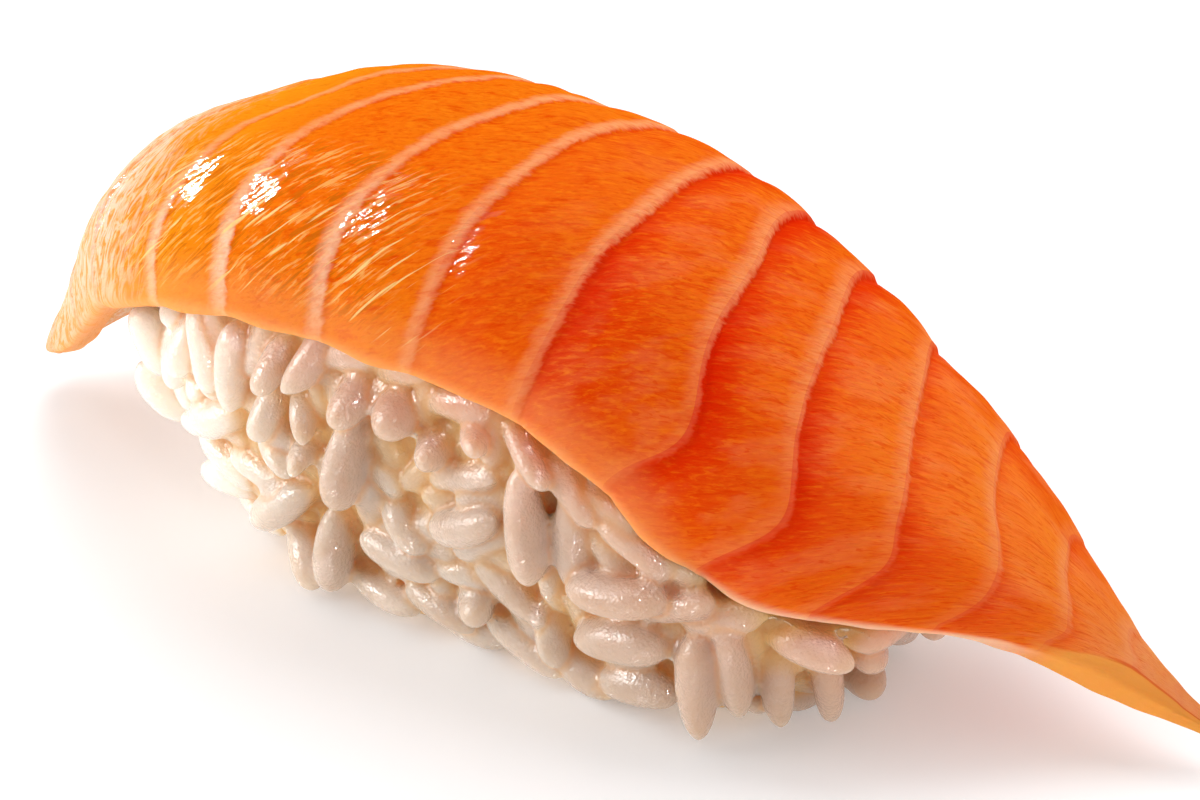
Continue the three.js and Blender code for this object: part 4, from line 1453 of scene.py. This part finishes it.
def water_film(tree, at):
    """Water lies in slanting patches on the near shoulder, just past each line, and breaks up the gleam."""
    patches = sums(tree, "MULTIPLY_ADD", at.slanted, 0.65, sums(tree, "MULTIPLY", at.coarse, 0.35))
    patches = product(
        tree,
        patches,
        ramp(tree, at.past, 4.4, 2.2),
        window(tree, at.share, 0.25, 0.54, 0.04),
        window(tree, at.across, -0.64, -0.4, 0.08),
    )
    return ramp(tree, patches, 0.48, 0.5)


FLESH_STEPS = [strand_colours, clouds_and_ripples, tip_and_shoulder, open_grooves, fat_lines]
FLESH_STEPS += [thin_edges, cut_tail, glinting_scratches]
print("steps over the ground:", len(FLESH_STEPS))

# %% Build the salmon finish
def salmon_finish():
    material, tree, shader = new_material("raw_salmon_flesh")
    at = flesh_facts(tree)
    base = ground_colour(tree, at)
    for step in FLESH_STEPS:
        base = step(tree, at, base)
    moist = {"Patch_scale": 0.5, "Pore_scale": 3.0, "Wet": 0.12, "Dry": 0.25}
    wet = place_group(tree, moisture_group, Vector=at.strand, **moist)
    height = sums(tree, "MULTIPLY_ADD", at.fine, 1.0, sums(tree, "MULTIPLY", at.coarse, 1.6))
    height = sums(tree, "MULTIPLY_ADD", wet["Relief"], 0.6, height)
    drops = strands(tree, along=0.6, over=2.6, turn=41, detail=1)
    drops = sums(tree, "MULTIPLY_ADD", drops, 1.0, sums(tree, "MULTIPLY", wet["Relief"], 0.5))
    feed(tree, shader, {
        "Base Color": base,
        "Roughness": wet["Roughness"],
        "Normal": add(tree, "Bump", {"Height": height, "Strength": 0.7, "Distance": 0.00015}).outputs[0],
        "Specular IOR Level": 0.0,
        "Coat Weight": water_film(tree, at),
        "Coat Roughness": 0.05,
        "Coat Normal": add(tree, "Bump", {"Height": drops, "Strength": 1.0, "Distance": 0.00007}).outputs[0],
        "Subsurface Weight": 0.4,
        "Subsurface Radius": (1.0, 0.3, 0.08),
        "Subsurface Scale": 0.0016,
    })
    return material


print("salmon finish described")

# %% Give each line its fat, and dress the slice
FAT_BY_LINE = [0, 0.2, 0.2, 0.35, 0.75, 0.9, 1, 1, 0.9, 0.7, 0.6, 0.5, 0.5, 0.55, 0.6, 0.5, 0]
FAT_LOW_END = [1, 1, 1, 1, 1, 1, 0.9, 0.8, 0.65, 0.3, 0.3, 0.3, 0.35, 0.4, 0.8, 0.8, 1]  # at the cut edges
EDGE_FROM = 0.1
EDGE_RUN = 0.6


def line_numbers_for(values_by_line, line):
    """The value of the nearest line."""
    return np.array(values_by_line, float)[np.clip(np.round(line), 0, LAST_LINE).astype(int)]


def add_number(piece, name, values):
    layer = piece.data.attributes.new(name, "FLOAT", "POINT")
    layer.data.foreach_set("value", values.astype(np.float32))


line_at_point = per_point(slice_facts["line"])
across_at_point = per_point(slice_facts["across"])
line_before = np.minimum(np.floor(line_at_point).astype(int), LAST_LINE - 1)
towards_edge = smoothstep((np.abs(across_at_point) - EDGE_FROM) / EDGE_RUN)
fat_fade = lerp(1, line_numbers_for(FAT_LOW_END, line_at_point), towards_edge)
add_number(salmon, "groove", groove_at(line_before, across_at_point))
add_number(salmon, "fat", line_numbers_for(FAT_BY_LINE, line_at_point) * fat_fade)
salmon.data.materials.append(salmon_finish())
print("salmon finish:", len(salmon.data.materials[0].node_tree.nodes), "nodes")

# %% [markdown]
# ## The rice
# A cooked grain is swollen starch, half clear and slightly sticky. Light gets deep into it, so the hollows
# between grains aren't dark but warm, and each grain has a soft bright rim: the hollows are painted a warm
# glow over the wet starch in them, and the rims get painted rim light. The end that faces the light is
# painted nearly white, the end towards the tail is painted darker for the shade it is in, and the grains
# under the slice get painted peach light, for the light that comes through it. A see-through material would
# be nearer to real starch, but it takes far longer to render. Strong scattering under the surface gives the
# same soft glow. A thin, uneven film of starchy water adds small, sharp highlights.

# %% Build the rice finish
RICE_PALE = colour(208, 192, 177)
RICE_CLEAR_AND_SHADE = colour(188, 163, 142)
RICE_PAINTED_LIGHT = colour(252, 240, 226)
RICE_JOINT = colour(220, 178, 128)
RICE_HOLLOW_GLOW = colour(220, 172, 108)
RICE_PEACH_LIGHT = colour(234, 162, 128)


def rice_finish():
    material, tree, shader = new_material("cooked_rice_grain")
    place = attribute(tree, "place", "Vector")
    joint = attribute(tree, "joint")
    cloud = place_group(tree, drift_group, Vector=place, Scale=0.35, Low=0.0, High=1.0)["Mask"]
    mixed = sums(tree, "MULTIPLY_ADD", attribute(tree, "tone"), 0.35, sums(tree, "MULTIPLY", cloud, 0.25))
    # painted rim light: lighter near each joint
    mixed = sums(tree, "MULTIPLY_ADD", attribute(tree, "rim"), 0.5, mixed)
    base = blend(tree, mixed, RICE_CLEAR_AND_SHADE, RICE_PALE)
    along = add(tree, "SeparateXYZ", {0: place}).outputs[0]
    for mask, tint in [
        # painted light: the blunt end, which faces the lamp, is painted nearly white
        (ramp(tree, along, -9, -24, 0.0, 0.95), RICE_PAINTED_LIGHT),
        # painted shade: towards the tail the rice is painted darker
        (ramp(tree, along, 2, 18, 0.0, 0.6), RICE_CLEAR_AND_SHADE),
        (product(tree, joint, 0.5), RICE_JOINT),
        # painted peach light under the slice, for the light that comes through it
        (product(tree, attribute(tree, "painted_slice_light"), 0.7), RICE_PEACH_LIGHT),
        # painted warm glow in the hollows, over the wet starch there
        (ramp(tree, attribute(tree, "stand"), 0.9, -0.4, 0.0, 0.9), RICE_HOLLOW_GLOW),
    ]:
        base = blend(tree, mask, base, tint)
    wet = place_group(tree, moisture_group, Vector=place, Patch_scale=0.5, Pore_scale=5.0, Wet=0.2, Dry=0.4)
    film = place_group(tree, drift_group, Vector=place, Scale=0.45, Low=0.1, High=1.0)["Mask"]
    relief = wet["Relief"]
    feed(tree, shader, {
        "Base Color": base,
        "Roughness": wet["Roughness"],
        "Normal": add(tree, "Bump", {"Height": relief, "Strength": 0.6, "Distance": 0.0001}).outputs[0],
        "Specular IOR Level": 0.08,
        "Coat Weight": product(tree, film, ramp(tree, joint, 0.7, 0.2)),
        "Coat Roughness": 0.1,
        "Coat Normal": add(tree, "Bump", {"Height": relief, "Strength": 1.0, "Distance": 0.0006}).outputs[0],
        "Subsurface Weight": 0.9,
        "Subsurface Radius": (1.0, 0.8, 0.62),
        "Subsurface Scale": 0.0036,
    })
    return material


rice_material = rice_finish()
rice.data.materials.append(rice_material)
print("rice finish:", len(rice_material.node_tree.nodes), "nodes")

# %% [markdown]
# ## Board and light
# The piece stands on a plain pale surface in bright, even surroundings. A large soft lamp hangs over it and
# a little behind. Two small ones help: one by the blunt end, which makes it glow, and a faint one that
# lifts the tail. Two more lamps only make highlights: a long one for the gleams on the wet shoulder, and a
# low one for the glints on the rice. A lamp that lit and mirrored at once would be simpler, but the
# highlights have to be placed without changing the shadows.

# %% Floor, lamps and surroundings
FLOOR_SIZE = 3000
FLOOR_GREY = colour(236, 236, 237)
FLOOR_GLOW = 0.22  # the surface is lit from below as well, so shadows on it stay pale
SKY_STRENGTH = 0.62


def make_floor():
    half = FLOOR_SIZE / 2
    corners = np.array([[-half, -half, 0], [half, -half, 0], [half, half, 0], [-half, half, 0]], float)
    floor = make_mesh("floor", corners, [(0, 1, 2, 3)], {})
    material, tree, shader = new_material("pale_board")
    feed(tree, shader, {
        "Base Color": FLOOR_GREY,
        "Emission Color": (1, 1, 1, 1),
        "Emission Strength": FLOOR_GLOW,
        "Roughness": 0.6,
        "Specular IOR Level": 0.2,
    })
    floor.data.materials.append(material)
    floor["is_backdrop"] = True
    return floor


def add_lamp(name, place, size, power, along=(0, 0, 1), diffuse=True, glints=True):
    """A soft lamp that faces the middle of the piece, its first side along a direction. In millimetres."""
    data = bpy.data.lights.new(name, "AREA")
    data.shape = "RECTANGLE"
    data.size, data.size_y = size[0] * MM, size[1] * MM
    data.energy = power
    lamp = bpy.data.objects.new(name, data)
    back = (Vector(place) - CAMERA_AIM).normalized()
    second = back.cross(Vector(along)).normalized()
    turn = Matrix((second.cross(back), second, back)).transposed().to_4x4()
    lamp.matrix_world = Matrix.Translation(Vector(place) * MM) @ turn
    lamp.visible_diffuse = diffuse
    lamp.visible_glossy = glints
    bpy.context.scene.collection.objects.link(lamp)
    return lamp


def make_surroundings(strength):
    world = bpy.data.worlds.new("pale studio")
    world.use_nodes = True
    background = world.node_tree.nodes["Background"]
    background.inputs["Color"].default_value = (1, 1, 1, 1)
    background.inputs["Strength"].default_value = strength
    bpy.context.scene.world = world


make_floor()
make_surroundings(SKY_STRENGTH)
add_lamp("window", (-100, -95, 50), (60, 60), 0.05, glints=False)
add_lamp("tail_fill", (115, -50, 50), (50, 50), 0.01, glints=False)
add_lamp("top_softbox", (-60, 260, 560), (500, 400), 2.05, glints=False)
add_lamp("small_lamp", (-330, -260, 170), (140, 140), 12.0, diffuse=False)
add_lamp("gleam", (-400, -70, 400), (1000, 42), 12.5, along=(-0.65, 0.45, -0.38), diffuse=False)
bpy.context.scene.view_settings.view_transform = "Standard"
print("lamps:", [light.name for light in bpy.data.lights])

# %% [markdown]
# ## Handing over
# Each new piece rides on the object's one body, and the solid that it replaces is hidden. The outer box is
# taken before and after, and how much it has grown is printed.

# %% Ride and replace
for piece, node, slot in [(salmon, "salmon_slice", "raw_salmon"), (rice, "rice_bed", "cooked_rice")]:
    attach(piece, "root")
    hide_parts(node)

dressed_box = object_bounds()
grown = [[round((b - a) / MM, 2) for a, b in zip(*pair)] for pair in zip(cad_box, dressed_box)]
print("grown by, in mm:", grown)
